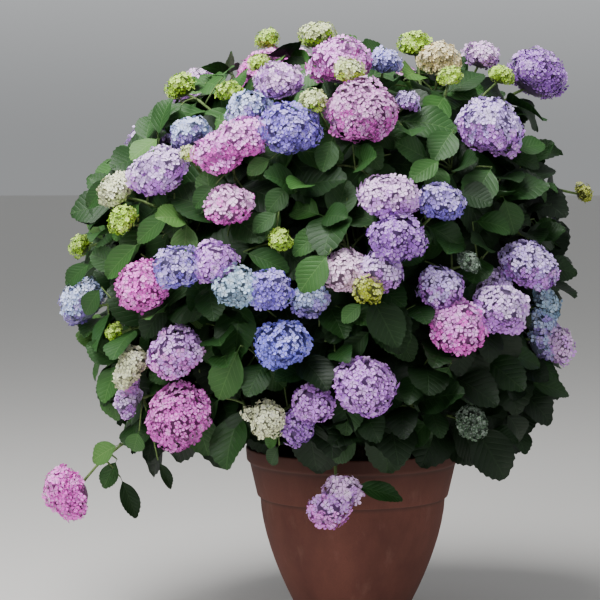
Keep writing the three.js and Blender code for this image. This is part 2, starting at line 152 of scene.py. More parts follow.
# Shoots, which leave the buds along a stem, and the parts of them that have to be clear
SHOOT_RADII = (0.0042, 0.0027)
SHOOT_BUDS = 14
BUD_STRIDE = 5
FIRST_BUD = 0.66
LAST_BUD = 0.995
SHOOT_LEAVING = 0.16
SHOOT_TURNING = 0.45
SHOOT_TESTS = np.linspace(0.12, 1, 16)
# How far a shoot's line may bend up and aside, as shares of its length, in order of trial
SHOOT_BENDS = (
    (0.14, 0), (0.3, 0), (0.05, 0.2), (0.05, -0.2), (0, 0),
    (0.3, 0.35), (0.3, -0.35), (-0.14, 0), (0.55, 0),
)

# The crown, as a rounded block about its middle
CROWN_MIDDLE = np.array([-0.072, 0.0, 0.806])
CROWN_REACH = np.array([0.572, 0.470, 0.585])
CROWN_SQUARENESS = 2.5
CROWN_HEM = -0.62
CROWN_CLOSENESS = 0.1 * MM
LEFT_OF_MIDDLE = CROWN_MIDDLE[0] - 0.04
# Straight trims of the crown, at its upper left, lower left, lower right, right and top: no
# leaf lies further out than the reach along the way (across, up)
TRIMS = np.array([(-1.0, 1.0), (-1.0, -0.43), (1.0, -0.85), (1.0, 0.0), (0.0, 1.0)])
TRIM_REACHES = np.array([1.69, 0.35, 0.035, 0.515, 1.39])
EYE = np.array([-0.124, -4.8, 1.1])
EYE_PITCH = math.radians(-3.9)
LENS = 123.06

# A mass's heart, from which its shoots spread
HEART_SHARE = 0.62
HEART_LIFT = 0.044
HEART_OVER_RIM = 0.065
HEART_PAST_RIM = 0.020

# The flower heads that show, in their masses, in millimetres: how far across from the
# pot's middle and how far up a head shows in the upright plane through the pot, its
# breadth, how far forward it stands off the crown's surface, and its hue.
SHOWN_MASSES = {
    "trailing_left": ((-672, 318, 125, 60, "hot pink"),),
    "skirt_left": (
        (-412, 499, 150, 40, "magenta pink"), (-415, 648, 125, 0, "mauve"),
        (-518, 622, 82, 0, "cream"), (-528, 535, 76, 0, "mauve")),
    "side_left": (
        (-487, 806, 134, 0, "hot pink"), (-366, 852, 150, 20, "lilac"),
        (-632, 768, 122, 0, "pale blue"), (-236, 800, 140, 10, "blue")),
    "shoulder_left": (
        (-452, 1072, 138, 0, "pale lilac"), (-553, 1028, 94, 0, "cream"),
        (-538, 960, 76, 0, "lime"), (-291, 996, 104, 0, "pale pink"),
        (-286, 1132, 148, 0, "pink"), (-382, 1160, 100, -110, "pale blue")),
    "top_left": (
        (-242, 1216, 104, -70, "pale blue"), (-146, 1170, 138, 0, "blue violet"),
        (-172, 1282, 116, -40, "lavender"), (-402, 1270, 76, -160, "lime")),
    "top_middle": (
        (-82, 1386, 88, -60, "lime cream"), (-30, 1326, 146, 0, "magenta lilac"),
        (74, 1328, 80, -20, "deep blue"), (20, 1212, 164, 20, "rosy mauve")),
    "top_right": (
        (142, 1368, 84, -40, "lime"), (198, 1332, 104, 0, "beige"),
        (298, 1340, 84, 0, "lavender"), (428, 1296, 152, 0, "purple"),
        (322, 1174, 152, 0, "pale lavender")),
    "middle": (
        (82, 1012, 130, -10, "lavender"), (100, 916, 126, 30, "purple"),
        (206, 1000, 104, 0, "blue lavender"), (22, 840, 146, 0, "pale lilac"),
        (42, 784, 76, 44, "yellow lime"), (-100, 776, 90, -30, "pale blue")),
    "side_right": (
        (400, 850, 146, -10, "pale lavender"), (350, 750, 130, 40, "pale lilac"),
        (206, 802, 104, -20, "pale lavender"), (246, 712, 130, 10, "pink"),
        (452, 766, 76, -20, "ice blue"), (462, 684, 118, 0, "pale blue")),
    "front_low": (
        (-164, 667, 124, 0, "blue"), (28, 568, 140, 20, "lilac"), (-92, 528, 92, 10, "lilac"),
        (-200, 490, 84, 0, "cream")),
    "over_rim": ((-40, 296, 116, 76, "lilac"),),
    "low_right": ((278, 482, 82, -40, "shaded pale green"),),
}
# Heads that are of more than one lobe, or sit a little off their place, by mass and row. Each
# lobe has its place across and up from the head's middle, and its breadth, as shares of the
# head's breadth, and its hue.
LOBES = {
    ("trailing_left", 0): ((-0.1, 0.07, 0.9, "hot pink"), (0.1, -0.07, 0.9, "hot pink")),
    ("side_left", 1): ((-0.26, -0.03, 0.74, "blue lavender"), (0.24, 0.05, 0.74, "lilac")),
    ("side_left", 3): ((-0.25, 0.02, 0.72, "ice blue"), (0.26, -0.02, 0.72, "blue violet")),
    ("shoulder_left", 4): ((-0.17, -0.1, 0.78, "pink"), (0.17, 0.1, 0.8, "pink")),
    ("middle", 3): ((-0.26, 0.0, 0.74, "shell pink"), (0.26, 0.0, 0.74, "pale lilac")),
    ("middle", 4): ((-0.1, 0.16, 0.86, "yellow lime"),),
    ("side_right", 0): ((-0.46, -0.3, 0.7, "pale lilac"), (0.08, 0.0, 0.94, "pale lavender")),
    ("side_right", 5): (
        (-0.2, 0.3, 0.78, "pale blue"), (-0.14, -0.12, 0.74, "pale blue"),
        (0.13, -0.13, 0.84, "lavender")),
    ("skirt_left", 2): ((0.0, 0.0, 1.0, "cream"), (-0.16, -0.35, 0.8, "cream")),
    ("skirt_left", 3): ((0.0, 0.0, 1.0, "pale lilac"), (0.06, 0.42, 0.82, "mauve")),
    ("over_rim", 0): ((0.13, 0.2, 0.78, "lavender"), (-0.15, -0.17, 0.78, "mauve")),
}
# Leaves that show singly: how far across and up a leaf's foot shows, then its tip, how far
# forward of the crown's surface it lies, its breadth as a share of the usual, and its tint
SHOWN_LEAVES = (
    (-264, 665, -328, 530, 14, 0.8, 4), (82, 733, 119, 640, -10, 1.15, 3),
    (23, 766, -28, 724, 20, 0.95, 4), (232, 623, 176, 532, 0, 1.05, 3),
    (325, 1084, 274, 1009, 0, 1.05, 3), (351, 1016, 384, 923, 0, 1, 3),
    (-54, 951, -147, 885, -20, 0.75, 4), (-54, 885, -131, 796, 45, 1, 4),
    (-257, 885, -147, 853, -20, 0.8, 3), (-498, 909, -597, 829, -20, 0.7, 4),
    (-421, 981, -519, 911, -10, 0.62, 4), (-190, 1105, -250, 1073, -10, 0.9, 4),
    (-47, 1152, -73, 1082, -20, 0.95, 3), (-321, 1044, -379, 993, -10, 0.9, 3),
    (234, 1171, 190, 1115, -10, 1.1, 3), (206, 1101, 133, 1063, -10, 0.8, 4),
    (-147, 1040, -204, 984, -20, 1, 3), (-173, 981, -239, 937, -10, 0.85, 3),
    (44, 703, -26, 640, -20, 0.9, 2), (194, 504, 119, 431, -10, 1, 2),
    (372, 1124, 454, 1147, -20, 0.95, 3), (-168, 466, -213, 427, 30, 0.9, 4),
    (-173, 429, -204, 380, 20, 0.9, 2), (9, 473, -54, 385, 0, 0.9, 2),
    (410, 581, 522, 558, -20, 0.7, 2), (-552, 1058, -639, 993, -20, 0.65, 3),
    (-611, 862, -686, 810, -10, 0.7, 3), (-590, 803, -639, 736, 60, 0.8, 3),
    (-550, 431, -625, 396, 50, 0.95, 5), (-503, 464, -522, 408, 60, 1.1, 4),
    (-555, 396, -592, 326, 50, 0.85, 3), (-548, 354, -505, 254, 40, 0.65, 1),
    (-459, 394, -419, 321, 30, 0.5, 1), (-2, 333, 131, 312, 50, 0.62, 2),
)
# Masses whose flowering shoot bears no other leaves
BARE_MASSES = ("trailing_left", "over_rim")
# More heads, most still in bud, in the same terms. Each is borne by the nearest mass.
YOUNG_HEADS = (
    (-560, 697, 46, -20, "lime"), (-637, 900, 60, 0, "lime"), (-384, 1114, 44, 0, "lime cream"),
    (-170, 914, 54, -30, "lime"), (-94, 1238, 62, 40, "lime cream"),
    (-292, 1260, 58, -120, "lime"), (-200, 1380, 58, -120, "lime"),
    (-220, 1325, 50, -60, "lime"), (-9, 1308, 70, 66, "lime cream"),
    (128, 1236, 54, -20, "pale lavender"), (224, 1294, 56, 40, "lime"),
    (344, 1296, 60, 50, "lime"), (272, 862, 52, 0, "shaded pale green"),
    (538, 1024, 50, 0, "yellow lime"), (-130, 474, 80, 0, "purple"), (-245, 505, 30, 0, "cream"),
)
# The least breadth at which a head's florets are out of bud
YOUNG_BREADTH = 0.064
# The plant's leaves, shoots and flowers are each joined by side
SIDES = ("left", "right", "back_left", "back_right")

# The far side of the crown: a mass about each bearing (0 to the right, 90 to the back)
# and rise from the crown's middle, in degrees
FAR_MASSES = (
    ("far_right", 14, 14), ("far_right_low", 30, -30), ("back_right", 52, 34),
    ("back_low", 88, -32), ("back_middle", 96, 8), ("back_top", 84, 70),
    ("back_left_low", 138, -28), ("back_left", 150, 12), ("back_left_top", 128, 46),
)
FAR_HEADS = 66
FAR_HEAD_BREADTH = (0.084, 0.152)
FAR_HEAD_START = 0.040
FAR_HEAD_LIMB = 0.220
FAR_LIMB_DEPTH = 0.86
FAR_HEAD_ROOM = 0.014
FAR_HUES = (
    "lavender", "pink", "pale blue", "pale lilac", "purple", "blue lavender", "magenta pink",
    "lilac", "blue", "pale lavender", "rosy mauve", "pale pink", "hot pink", "blue violet",
)

# A flower head, as shares of its breadth: how far it rises above its middle and reaches
# below, where its shoot ends, its core, painted dark as the shade between its florets, and
# its face, which leaves leave clear
HEAD_RISE = 0.4
HEAD_DEPTH = 0.32
HEAD_SEAT = 0.16
HEAD_CORE = 0.77
HEAD_FACE = 0.40
# The room about it, how much it turns up from its shoot's way, and the sine down to which it
# has florets
HEAD_ROOM = 0.001
HEAD_LIFT = 0.5
HEAD_COVER = -0.82
# The knobs that a head's florets gather in
KNOB_AREA = 0.0056
LEAST_KNOBS = 6
KNOB_COVER = -0.95
KNOB_HOLLOW = 0.15
KNOB_EDGE = 2.7
KNOB_LEAN = 0.8
KNOB_SIZES = (0.90, 1.05)
KNOB_LEVEL = 0.3
# Florets, as many as cover a head's skin, which is a share of a ball's, at even spacing
HEAD_SKIN = 0.83
ROW_SPACING = 0.866
EVEN_SCATTER = 0.32
FLORET_RADIUS = 0.0104
HALF_OPEN_RADIUS = 0.0080
BUD_RADIUS = 0.0058
FLORET_SIZES = (0.84, 1.12)
FLORET_SPACING = 1.60
FLORET_SINK = 0.30
FLORET_TILT = 0.24
FLORET_JITTER = 0.0040
# Across a petal's rows, from its foot: how far out, and half its breadth, as shares of the
# floret's radius. Its tip is notched and curls down.
PETAL_ROWS = ((0.04, 0.0), (0.62, 0.46), (1.0, 0.27))
PETAL_NOTCH = 0.12
PETAL_CURL = 0.08
# How much of a floret's cup its petals have at their middles, and how much more at the edges
PETAL_CUPPING = (0.7, 0.5)
# The bead in a floret's middle: its radius, its height, and how high its own middle is
BEAD_SIZE = (0.13, 0.16, 0.10)

# Leaves, as shares of their length, and the room that they need
LEAF_ROWS = 9
LEAF_HALF_BREADTH = 0.335
LEAF_WIDEST = 0.42
LEAF_FULLNESS = 1.45
LEAF_CROWDING = 0.92
LEAF_SWEEP = 0.30
LEAF_WAVES = 9
WAVE_DEPTH = 0.1
PETIOLE = 0.10
PETIOLE_HALF = 0.010
TOOTH_OUT = 0.013
TOOTH_FORWARD = 0.022
TOOTHLESS_ROWS = 1.9
LEAF_ROOM = 0.010
LEAF_SIZES = (0.88, 1.06)
LEAF_MAP = "OFBake"
LEAF_MAP_CELLS = (3, 2)
# How a leaf lies: the turns that are tried, how much it points aside, along its limb, out
# from the crown and down, and how much it faces up, outwards, to the open side and at random
LEAF_TURNS = (0.0, 0.5, -0.5, 1.0, -1.0)
OFF_PLUMB = 0.01
POINTS_ASIDE = 0.9
POINTS_ALONG = 0.35
POINTS_OUT = 0.3
POINTS_DOWN = (0.12, 0.55)
FACES_UP = 0.9
FACES_OUT = (0.3, 0.9)
FACES_OPEN = 0.85
OPEN_SCATTER = (0.4, 1.3)
FACES_ASIDE = 0.3
# Pairs of leaves: how far down the limb from its end, how long, and their tints. No leaf
# leaves a limb nearer to its foot than the least share.
LEAST_SHOOT_SHARE = 0.2
LEAST_TWIG_SHARE = 0.15
SHOOT_TINTS = (2, 1, 1, 1)
FLOWERING_LEAVES = ((0.034, 0.120), (0.088, 0.155), (0.150, 0.170), (0.215, 0.170))
LEAFY_LEAVES = ((0.0, 0.100), (0.040, 0.145), (0.092, 0.170), (0.155, 0.175))
TWIG_LEAVES = ((0.0, 0.095), (0.034, 0.140), (0.085, 0.160))
# The side that most light comes from, to which leaves turn, less so from OPEN_FROM to OPEN_TO
OPEN_SIDE = np.array([-0.2, -1.0, 0.0])
OPEN_FROM = -0.05
OPEN_TO = 0.22
# Painted light and shade: leaves take lighter tints up the crown and to its left, and
# darker ones down it and to its right, by tints a metre
LIT_WAY = np.array([-0.8, 0.0, 1.0])
LIT_MIDDLE = 0.96
LIT_TINTS = 3.6
LIT_LEAST = -2
LIT_MOST = 1
TINT_SCATTER = 1.3

# Leafy shoots, and twigs in two layers: how deep each ends, and its leaves' tints
LEAFY_PLACES = 150
LEAFY_DEPTH = 0.87
LEAFY_CLEARANCE = 0.088
TWIG_PLACES = 430
# painted shade: the inner layer's leaves all take the darkest tint, for the shade deep in the
# crown
TWIG_LAYERS = ((0.89, (3, 2, 1)), (0.72, (0, 0, 0)))
TWIG_CLEARANCE = 0.060
TWIG_REACH = (0.050, 0.300)
TWIG_RADII = (0.0026, 0.0016)
TWIG_HEAD_ROOM = 0.003
TWIG_TRIALS = 4
TWIG_ARCH = 0.12
TWIG_SWAY = 0.08
TWIG_TESTS = np.linspace(0.2, 1, 9)
BUDDING = np.linspace(0.25, 0.9, 12)
# Stalks of the leaves that show singly, and how much deeper than its foot a tip may lie
STALK_TRIALS = 60
STALK_ARCH = 0.10
STALK_TESTS = np.linspace(0.2, 0.9, 9)
SET_LEAF_SINK = 12
SET_LEAF_LEAN = 0.020
SET_LEAF_UP = 0.6

# A leaf's veins, as shares of its length: how far off its middle the midrib ends, the side
# veins fade and the darker edge begins, and how the side veins are spaced and sweep
MIDRIB_END = (0.004, 0.014)
VEINS_FADE = (0.12, 0.32)
EDGE_DARKENS = (0.12, 0.34)
VEIN_PAIRS = 9.0
VEIN_SWEEP = 0.85
VEIN_BREADTH = (0.84, 0.98)
# Its relief: how much it puckers between veins, and its fine net of them
PUCKER = 0.75
NET = 0.9
NET_SCALE = 58.0
LEAF_RELIEF = (0.35, 0.0014)

# The studio: its floor, its soft light, and how bright its backdrop looks at the floor's
# edge and above
SENSOR_WIDTH = 36
FLOOR_RADIUS = 60
FLOOR_SIDES = 96
SKY_COLOUR = (0.86, 0.88, 0.90, 1)
SKY_LIGHT = 0.42
SKY_LOW = 0.36
SKY_SEEN = 0.95
SKY_RISE = 0.20
LAMPS_AIM = np.array([0.0, 0.0, 0.75])
# Each lamp's name, place, breadth and power
LAMPS = (
    ("overhead", (-1.1, -1.2, 4.3), 2.6, 270),
    ("key", (-2.6, -3.4, 3.4), 1.8, 100),
    ("fill", (3.0, -2.6, 1.8), 2.4, 12),
)


def mix(a, b, share):
    return a + (b - a) * share


def unit(vector):
    return vector / np.linalg.norm(vector)


def units(rows):
    return rows / np.linalg.norm(rows, axis=1)[:, None]


def distances(points, place):
    return np.linalg.norm(points - place, axis=1)


def nearest(masses, part, place):
    return min(masses, key=lambda mass: np.linalg.norm(mass[part] - place))


def turned(vector, axis, angle):
    """The vector turned about a unit axis"""
    return (vector * math.cos(angle) + np.cross(axis, vector) * math.sin(angle)
            + axis * np.dot(axis, vector) * (1 - math.cos(angle)))


def seeded(seed):
    """The model's own row of random numbers"""
    state = seed

    def draw():
        nonlocal state
        state = (state * DRAW_FACTOR + DRAW_STEP) % DRAW_RANGE
        return state / DRAW_RANGE

    return draw


def curved(share, start, bend, end):
    """The place a share of the way along a curve from a start past a bend to an end"""
    return (1 - share) ** 2 * start + 2 * share * (1 - share) * bend + share ** 2 * end


class Line:
    """A curve from a start past a bend to an end, measured along its length"""

    def __init__(self, start, bend, end):
        self.points = curved(np.linspace(0, 1, LINE_STEPS + 1)[:, None], start, bend, end)
        steps = np.linalg.norm(np.diff(self.points, axis=0), axis=1)
        self.far = np.concatenate([[0.0], np.cumsum(steps)])
        self.length = self.far[-1]

    def at(self, share):
        share = np.atleast_1d(share) * self.length
        return np.stack([np.interp(share, self.far, axis) for axis in self.points.T], axis=1)

    def way(self, share):
        near, far = self.at([max(share - WAY_REACH, 0.0), min(share + WAY_REACH, 1.0)])
        return unit(far - near)


def swelling_wall(foot, top, share, swell):
    """The radius of one of the pot's walls, a share of the way up from its foot"""
    return mix(foot, top, 1 - (1 - share) ** swell)


# The crown and its masses, by the model's rule

def fullness(point):
    x, y, z = point / CROWN_REACH
    return abs(x) ** CROWN_SQUARENESS + abs(z) ** CROWN_SQUARENESS + y * y


def on_sight(across, up, forward):
    """The place that shows at (across, up), forward of the plane through the pot's middle"""
    return mix(np.array([across, 0.0, up]) * MM, EYE, forward / -EYE[1])


def shown_place(across, up, nudge):
    """The place of a head that shows at (across, up), on the crown's surface"""
    left = max(1 - fullness(np.array([across, 0.0, up]) * MM - CROWN_MIDDLE), 0.0)
    return on_sight(across, up, CROWN_REACH[1] * math.sqrt(left) + nudge * MM)


def crown_place(way, share=1.0):
    near, far = 0.0, np.linalg.norm(CROWN_REACH)
    while far - near > CROWN_CLOSENESS:
        half = (near + far) / 2
        if fullness(way * half) < 1:
            near = half
        else:
            far = half
    return CROWN_MIDDLE + way * near * share


def way_at(bearing, sine):
    level = math.sqrt(1 - sine * sine)
    return np.array([math.cos(bearing) * level, math.sin(bearing) * level, sine])


def even_ways(count):
    return [way_at(i * GOLDEN_TURN, mix(CROWN_HEM, 1, (i + 0.5) / count)) for i in range(count)]


def head_of(place, breadth, hue, shown=True, key=None):
    lobes = LOBES.get(key, ((0, 0, 1, hue),))
    return {"place": place, "breadth": breadth, "shown": shown, "lobes": lobes}


def shown_masses():
    return [
        {"name": name, "heads": [
            head_of(shown_place(across, up, nudge), breadth * MM, hue, key=(name, row))
            for row, (across, up, breadth, nudge, hue) in enumerate(rows)]}
        for name, rows in SHOWN_MASSES.items()]


def far_masses(shown):
    """The masses of the far side, with heads spread evenly clear of the shown ones"""
    random = seeded(SEED)
    far = []
    for name, bearing, rise in FAR_MASSES:
        seat = crown_place(way_at(math.radians(bearing), math.sin(math.radians(rise))))
        far.append({"name": name, "heads": [], "seat": seat})
    for i, way in enumerate(even_ways(FAR_HEADS)):
        breadth = mix(*FAR_HEAD_BREADTH, math.sqrt(random()))
        on_limb = crown_place(way)[1] < FAR_HEAD_LIMB
        place = crown_place(way, FAR_LIMB_DEPTH if on_limb else 1.0)
        clear = all(
            np.linalg.norm(head["place"] - place) > (head["breadth"] + breadth) / 2 + FAR_HEAD_ROOM
            for head in shown)
        if clear and place[1] > FAR_HEAD_START:
            hue = FAR_HUES[(i * BUD_STRIDE) % len(FAR_HUES)]
            nearest(far, "seat", place)["heads"].append(head_of(place, breadth, hue, shown=False))
    return far


def heads_middle(mass):
    return np.mean([head["place"] for head in mass["heads"]], axis=0)


def heart_of(mass):
    middle = heads_middle(mass)
    heart = mix(STOOL_FOOT, middle, HEART_SHARE) + UP * HEART_LIFT
    heart[2] = max(heart[2], POT_HEIGHT + HEART_OVER_RIM)
    reach = math.hypot(heart[0], heart[1])
    if middle[2] < POT_HEIGHT and reach < RIM_RADIUS + HEART_PAST_RIM:
        heart[:2] *= (RIM_RADIUS + HEART_PAST_RIM) / reach
    return heart


def spread_out(ways):
    """Turns directions from the stool apart until no two canes would touch there"""
    for _ in range(SPREADING_ROUNDS):
        for i, a in enumerate(ways):
            for b in ways[i + 1:]:
                apart = math.acos(max(-1.0, min(1.0, float(np.dot(a, b)))))
                if apart < LEAST_CANE_TURN:
                    push = (a - b) * (LEAST_CANE_TURN - apart) / 2 / apart
                    a[:] = unit(a + push)
                    b[:] = unit(b - push)
        for way in ways:
            level = math.hypot(way[0], way[1])
            if way[2] / level < LEAST_CANE_RISE:
                way[2] = level * LEAST_CANE_RISE
                way[:] = unit(way)


def lead_lines(masses):
    """The one line that a cane and the stem of its mass follow, from stool to heart"""
    for mass in masses:
        mass["heart"] = heart_of(mass)
        mass["way"] = unit(mass["heart"] - STOOL_FOOT)
    spread_out([mass["way"] for mass in masses])
    for mass in masses:
        foot = STOOL_FOOT + mass["way"] * (STOOL_RADIUS - CANE_SINK)
        half = np.linalg.norm(foot - mass["heart"]) * 0.5
        mass["lead"] = Line(foot, foot + mass["way"] * half, mass["heart"])


def bear_young_heads(masses):
    for across, up, breadth, nudge, hue in YOUNG_HEADS:
        place = shown_place(across, up, nudge)
        nearest(masses, "heart", place)["heads"].append(head_of(place, breadth * MM, hue))


def set_heads(masses):
    for mass in masses:
        for head in mass["heads"]:
            axis = unit(head["place"] - mass["heart"])
            head["axis"] = unit(axis + UP * HEAD_LIFT)


def side_of(mass):
    """Which of the plant's pieces a mass goes into"""
    side = "left" if heads_middle(mass)[0] < LEFT_OF_MIDDLE else "right"
    return side if mass["heads"][0]["shown"] else f"back_{side}"


class Room:
    """What the plant already fills: its heads, its pot, and points on its limbs and leaves"""

    CELL = 0.02
    BOX_SHARE = 0.02

    def __init__(self, heads):
        self.place, self.axis, self.breadth, self.shown = (
            np.array([head[part] for head in heads])
            for part in ("place", "axis", "breadth", "shown"))
        self.away = distances(self.place, EYE)
        self.sight = (self.place - EYE) / self.away[:, None]
        self.cells = {}
        margin = (cad_high - cad_low) * self.BOX_SHARE
        self.low, self.high = cad_low - margin, cad_high + margin

    def near_head(self, place, clearance):
        return distances(self.place, place).min() < clearance

    def in_heads(self, points, margin, but=()):
        apart = points[:, None, :] - self.place[None, :, :]
        rise = np.einsum("pha,ha->ph", apart, self.axis)
        level = np.maximum((apart ** 2).sum(-1) - rise ** 2, 0.0)
        tall = self.breadth * np.where(rise > 0, HEAD_RISE, HEAD_DEPTH) + margin
        filled = level / (self.breadth / 2 + margin) ** 2 + (rise / tall) ** 2 < 1
        filled[:, list(but)] = False
        return filled.any()

    def in_pot(self, points):
        reach = np.hypot(points[:, 0], points[:, 1])
        share = np.clip(points[:, 2] / COLLAR_FOOT, 0, 1)
        wall = swelling_wall(FOOT_RADIUS, NECK_RADIUS, share, OUTER_SWELL)
        wall = np.where(points[:, 2] > COLLAR_FOOT, RIM_RADIUS, wall) + POT_ROOM
        return ((points[:, 2] < POT_HEIGHT + POT_ROOM) & (reach < wall)).any()

    def hides_head(self, points):
        sight = points - EYE
        away = np.linalg.norm(sight, axis=1)
        across = np.linalg.norm(np.cross(sight[:, None, :], self.sight[None, :, :]), axis=2)
        over = across < HEAD_FACE * (self.breadth * away[:, None] / self.away)
        return (over & (away[:, None] < self.away) & self.shown).any()

    def keys(self, points):
        return np.floor(points / self.CELL).astype(int)

    def take(self, points, owner):
        for key, point in zip(self.keys(points), points):
            self.cells.setdefault(tuple(key), []).append((owner, point))

    def crowded(self, points, reach, owner=None):
        for (i, j, k), point in zip(self.keys(points), points):
            for a in (i - 1, i, i + 1):
                for b in (j - 1, j, j + 1):
                    for c in (k - 1, k, k + 1):
                        for other, taken in self.cells.get((a, b, c), ()):
                            if other != owner and ((taken - point) ** 2).sum() < reach ** 2:
                                return True
        return False

    def outside(self, points):
        past_trims = (points[:, ::2] @ TRIMS.T > TRIM_REACHES).any()
        return past_trims or (points < self.low).any() or (points > self.high).any()


def shoot_line(start, way, end, lift, aside):
    apart = np.linalg.norm(end - start)
    level = unit(np.cross(UP, end - start))
    bend = mix(start, end, SHOOT_TURNING) + way * apart * SHOOT_LEAVING
    return Line(start, bend + UP * apart * lift + level * apart * aside, end)


def grow_shoot(mass, room, end, turn, own=()):
    """A shoot from the mass's stem to an end point, by the first bud and bend that is clear.
    One that bears a head of its own grows in any case."""
    first = None
    for lift, aside in SHOOT_BENDS:
        for i in range(SHOOT_BUDS):
            bud = (turn * BUD_STRIDE + i) % SHOOT_BUDS
            share = mix(LAST_BUD, FIRST_BUD, bud / SHOOT_BUDS)
            line = shoot_line(mass["lead"].at(share)[0], mass["lead"].way(share), end, lift, aside)
            first = first or line
            points = line.at(SHOOT_TESTS)
            blocked = (
                room.in_heads(points, SHOOT_RADII[0], own) or room.in_pot(points[2:])
                or room.crowded(points, SHOOT_RADII[0] * 2, mass["name"]))
            if not blocked:
                room.take(points, mass["name"])
                return line
    return first if own else None


def grow_shoots(masses, room):
    """Every flowering shoot, then leafy shoots where no head takes up the room"""
    shoots = []

    def keep(line, mass, head):
        shoots.append({"line": line, "side": mass["side"], "head": head, "name": mass["name"]})

    rows = [(mass, i, head) for mass in masses for i, head in enumerate(mass["heads"])]
    for count, (mass, i, head) in enumerate(rows):
        end = head["place"] - head["axis"] * head["breadth"] * HEAD_SEAT
        keep(grow_shoot(mass, room, end, i, (count,)), mass, head)
    for i, way in enumerate(even_ways(LEAFY_PLACES)):
        place = crown_place(way, LEAFY_DEPTH)
        if not room.near_head(place, LEAFY_CLEARANCE):
            mass = nearest(masses, "heart", place)
            line = grow_shoot(mass, room, place, i)
            if line:
                keep(line, mass, None)
    return shoots


def budding_points(shoots):
    """Points along the shoots, from which twigs leave, and the side that each is on"""
    points = np.concatenate([shoot["line"].at(BUDDING) for shoot in shoots])
    return points, [shoot["side"] for shoot in shoots for _ in BUDDING]


def grow_stalks(shoots, room):
    """A twig to the foot of each leaf that shows singly"""
    points, sides = budding_points(shoots)
    stalks = []
    for row in SHOWN_LEAVES:
        foot = shown_place(row[0], row[1], row[4] - SET_LEAF_SINK)
        apart = distances(points, foot)
        for pick in np.argsort(apart)[:STALK_TRIALS]:
            start = points[pick]
            line = Line(start, mix(start, foot, 0.5) + UP * apart[pick] * STALK_ARCH, foot)
            if not room.in_heads(line.at(STALK_TESTS), HEAD_ROOM):
                break
        stalks.append({"line": line, "side": sides[pick], "row": row})
    return stalks


def grow_twigs(shoots, room):
    """Finer twigs, from the shoots to even places over the crown and within it"""
    points, sides = budding_points(shoots)
    inward = distances(points, CROWN_MIDDLE)
    twigs = []
    for place, tints in (
            (crown_place(way, depth), tints)
            for depth, tints in TWIG_LAYERS for way in even_ways(TWIG_PLACES)):
        if room.near_head(place, TWIG_CLEARANCE):
            continue
        apart = distances(points, place)
        fit = (apart > TWIG_REACH[0]) & (apart < TWIG_REACH[1])
        fit &= inward < np.linalg.norm(place - CROWN_MIDDLE)
        for pick in np.argsort(np.where(fit, apart, np.inf))[:TWIG_TRIALS]:
            if not fit[pick]:
                break
            start = points[pick]
            sway = np.cross(unit(place - start), UP) * apart[pick] * TWIG_SWAY
            bend = mix(start, place, 0.5) + UP * apart[pick] * TWIG_ARCH
            line = Line(start, bend + sway, place)
            test = line.at(TWIG_TESTS)
            if not (room.in_heads(test, TWIG_HEAD_ROOM) or room.in_pot(test)):
                twigs.append({"line": line, "side": sides[pick], "tints": tints})
                break
    return twigs


# Small shapes, made once with bmesh and laid down many times

class Shape:
    """A small mesh as arrays: its points, its faces' corners and roles, and its map"""

    def __init__(self, bm, flat=None):
        bm.verts.index_update()
        self.points = np.array([vert.co for vert in bm.verts])
        self.corners = np.array([vert.index for face in bm.faces for vert in face.verts])
        self.sizes = np.array([len(face.verts) for face in bm.faces])
        self.roles = np.array([face.material_index for face in bm.faces])
        self.flat = None if flat is None else flat[self.corners]
        bm.free()


class Pile:
    """Copies of small shapes, joined into one mesh"""

    def __init__(self):
        self.batches = []

    def add(self, shape, points, slots, shifts=None):
        """points: (copies, points, 3); slots: (copies, roles); shifts: (copies, 2)"""
        self.batches.append((shape, points, np.asarray(slots), shifts))

    def add_rod(self, rod, line, radii, slot, first=0, last=1, relief=None):
        points = along_line(rod, line, first, last, radii, relief)
        self.add(rod, points[None], [[slot]])

    def joined(self):
        points, corners, sizes, slots, flats = [], [], [], [], []
        first = 0
        for shape, places, roles, shifts in self.batches:
            copies, each = places.shape[:2]
            starts = first + np.arange(copies) * each
            points.append(places.reshape(-1, 3))
            corners.append((starts[:, None] + shape.corners[None, :]).ravel())
            sizes.append(np.tile(shape.sizes, copies))
            slots.append(roles[:, shape.roles].ravel())
            if shape.flat is not None:
                flat = (shape.flat[None] + shifts[:, None, :]) / LEAF_MAP_CELLS
                flats.append(flat.reshape(-1, 2))
            first += copies * each
        points, corners, sizes, slots = (
            np.concatenate(rows) for rows in (points, corners, sizes, slots))
        mesh = bpy.data.meshes.new("joined")
        mesh.vertices.add(len(points))
        mesh.vertices.foreach_set("co", points.ravel())
        mesh.loops.add(len(corners))
        mesh.loops.foreach_set("vertex_index", corners.astype(np.int32))
        mesh.polygons.add(len(sizes))
        mesh.polygons.foreach_set("loop_start", (np.cumsum(sizes) - sizes).astype(np.int32))
        mesh.polygons.foreach_set("material_index", slots.astype(np.int32))
        mesh.polygons.foreach_set("use_smooth", np.ones(len(sizes), bool))
        if flats:
            layer = mesh.uv_layers.new(name=LEAF_MAP)
            layer.data.foreach_set("uv", np.concatenate(flats).ravel())
        mesh.update(calc_edges=True)
        mesh.validate()
        return mesh


def laid(shape, frames, places):
    """A shape's points, laid down by (copies, 3, 3) frames whose rows are its axes"""
    return np.einsum("pa,cab->cpb", shape.points, frames) + places[:, None, :]


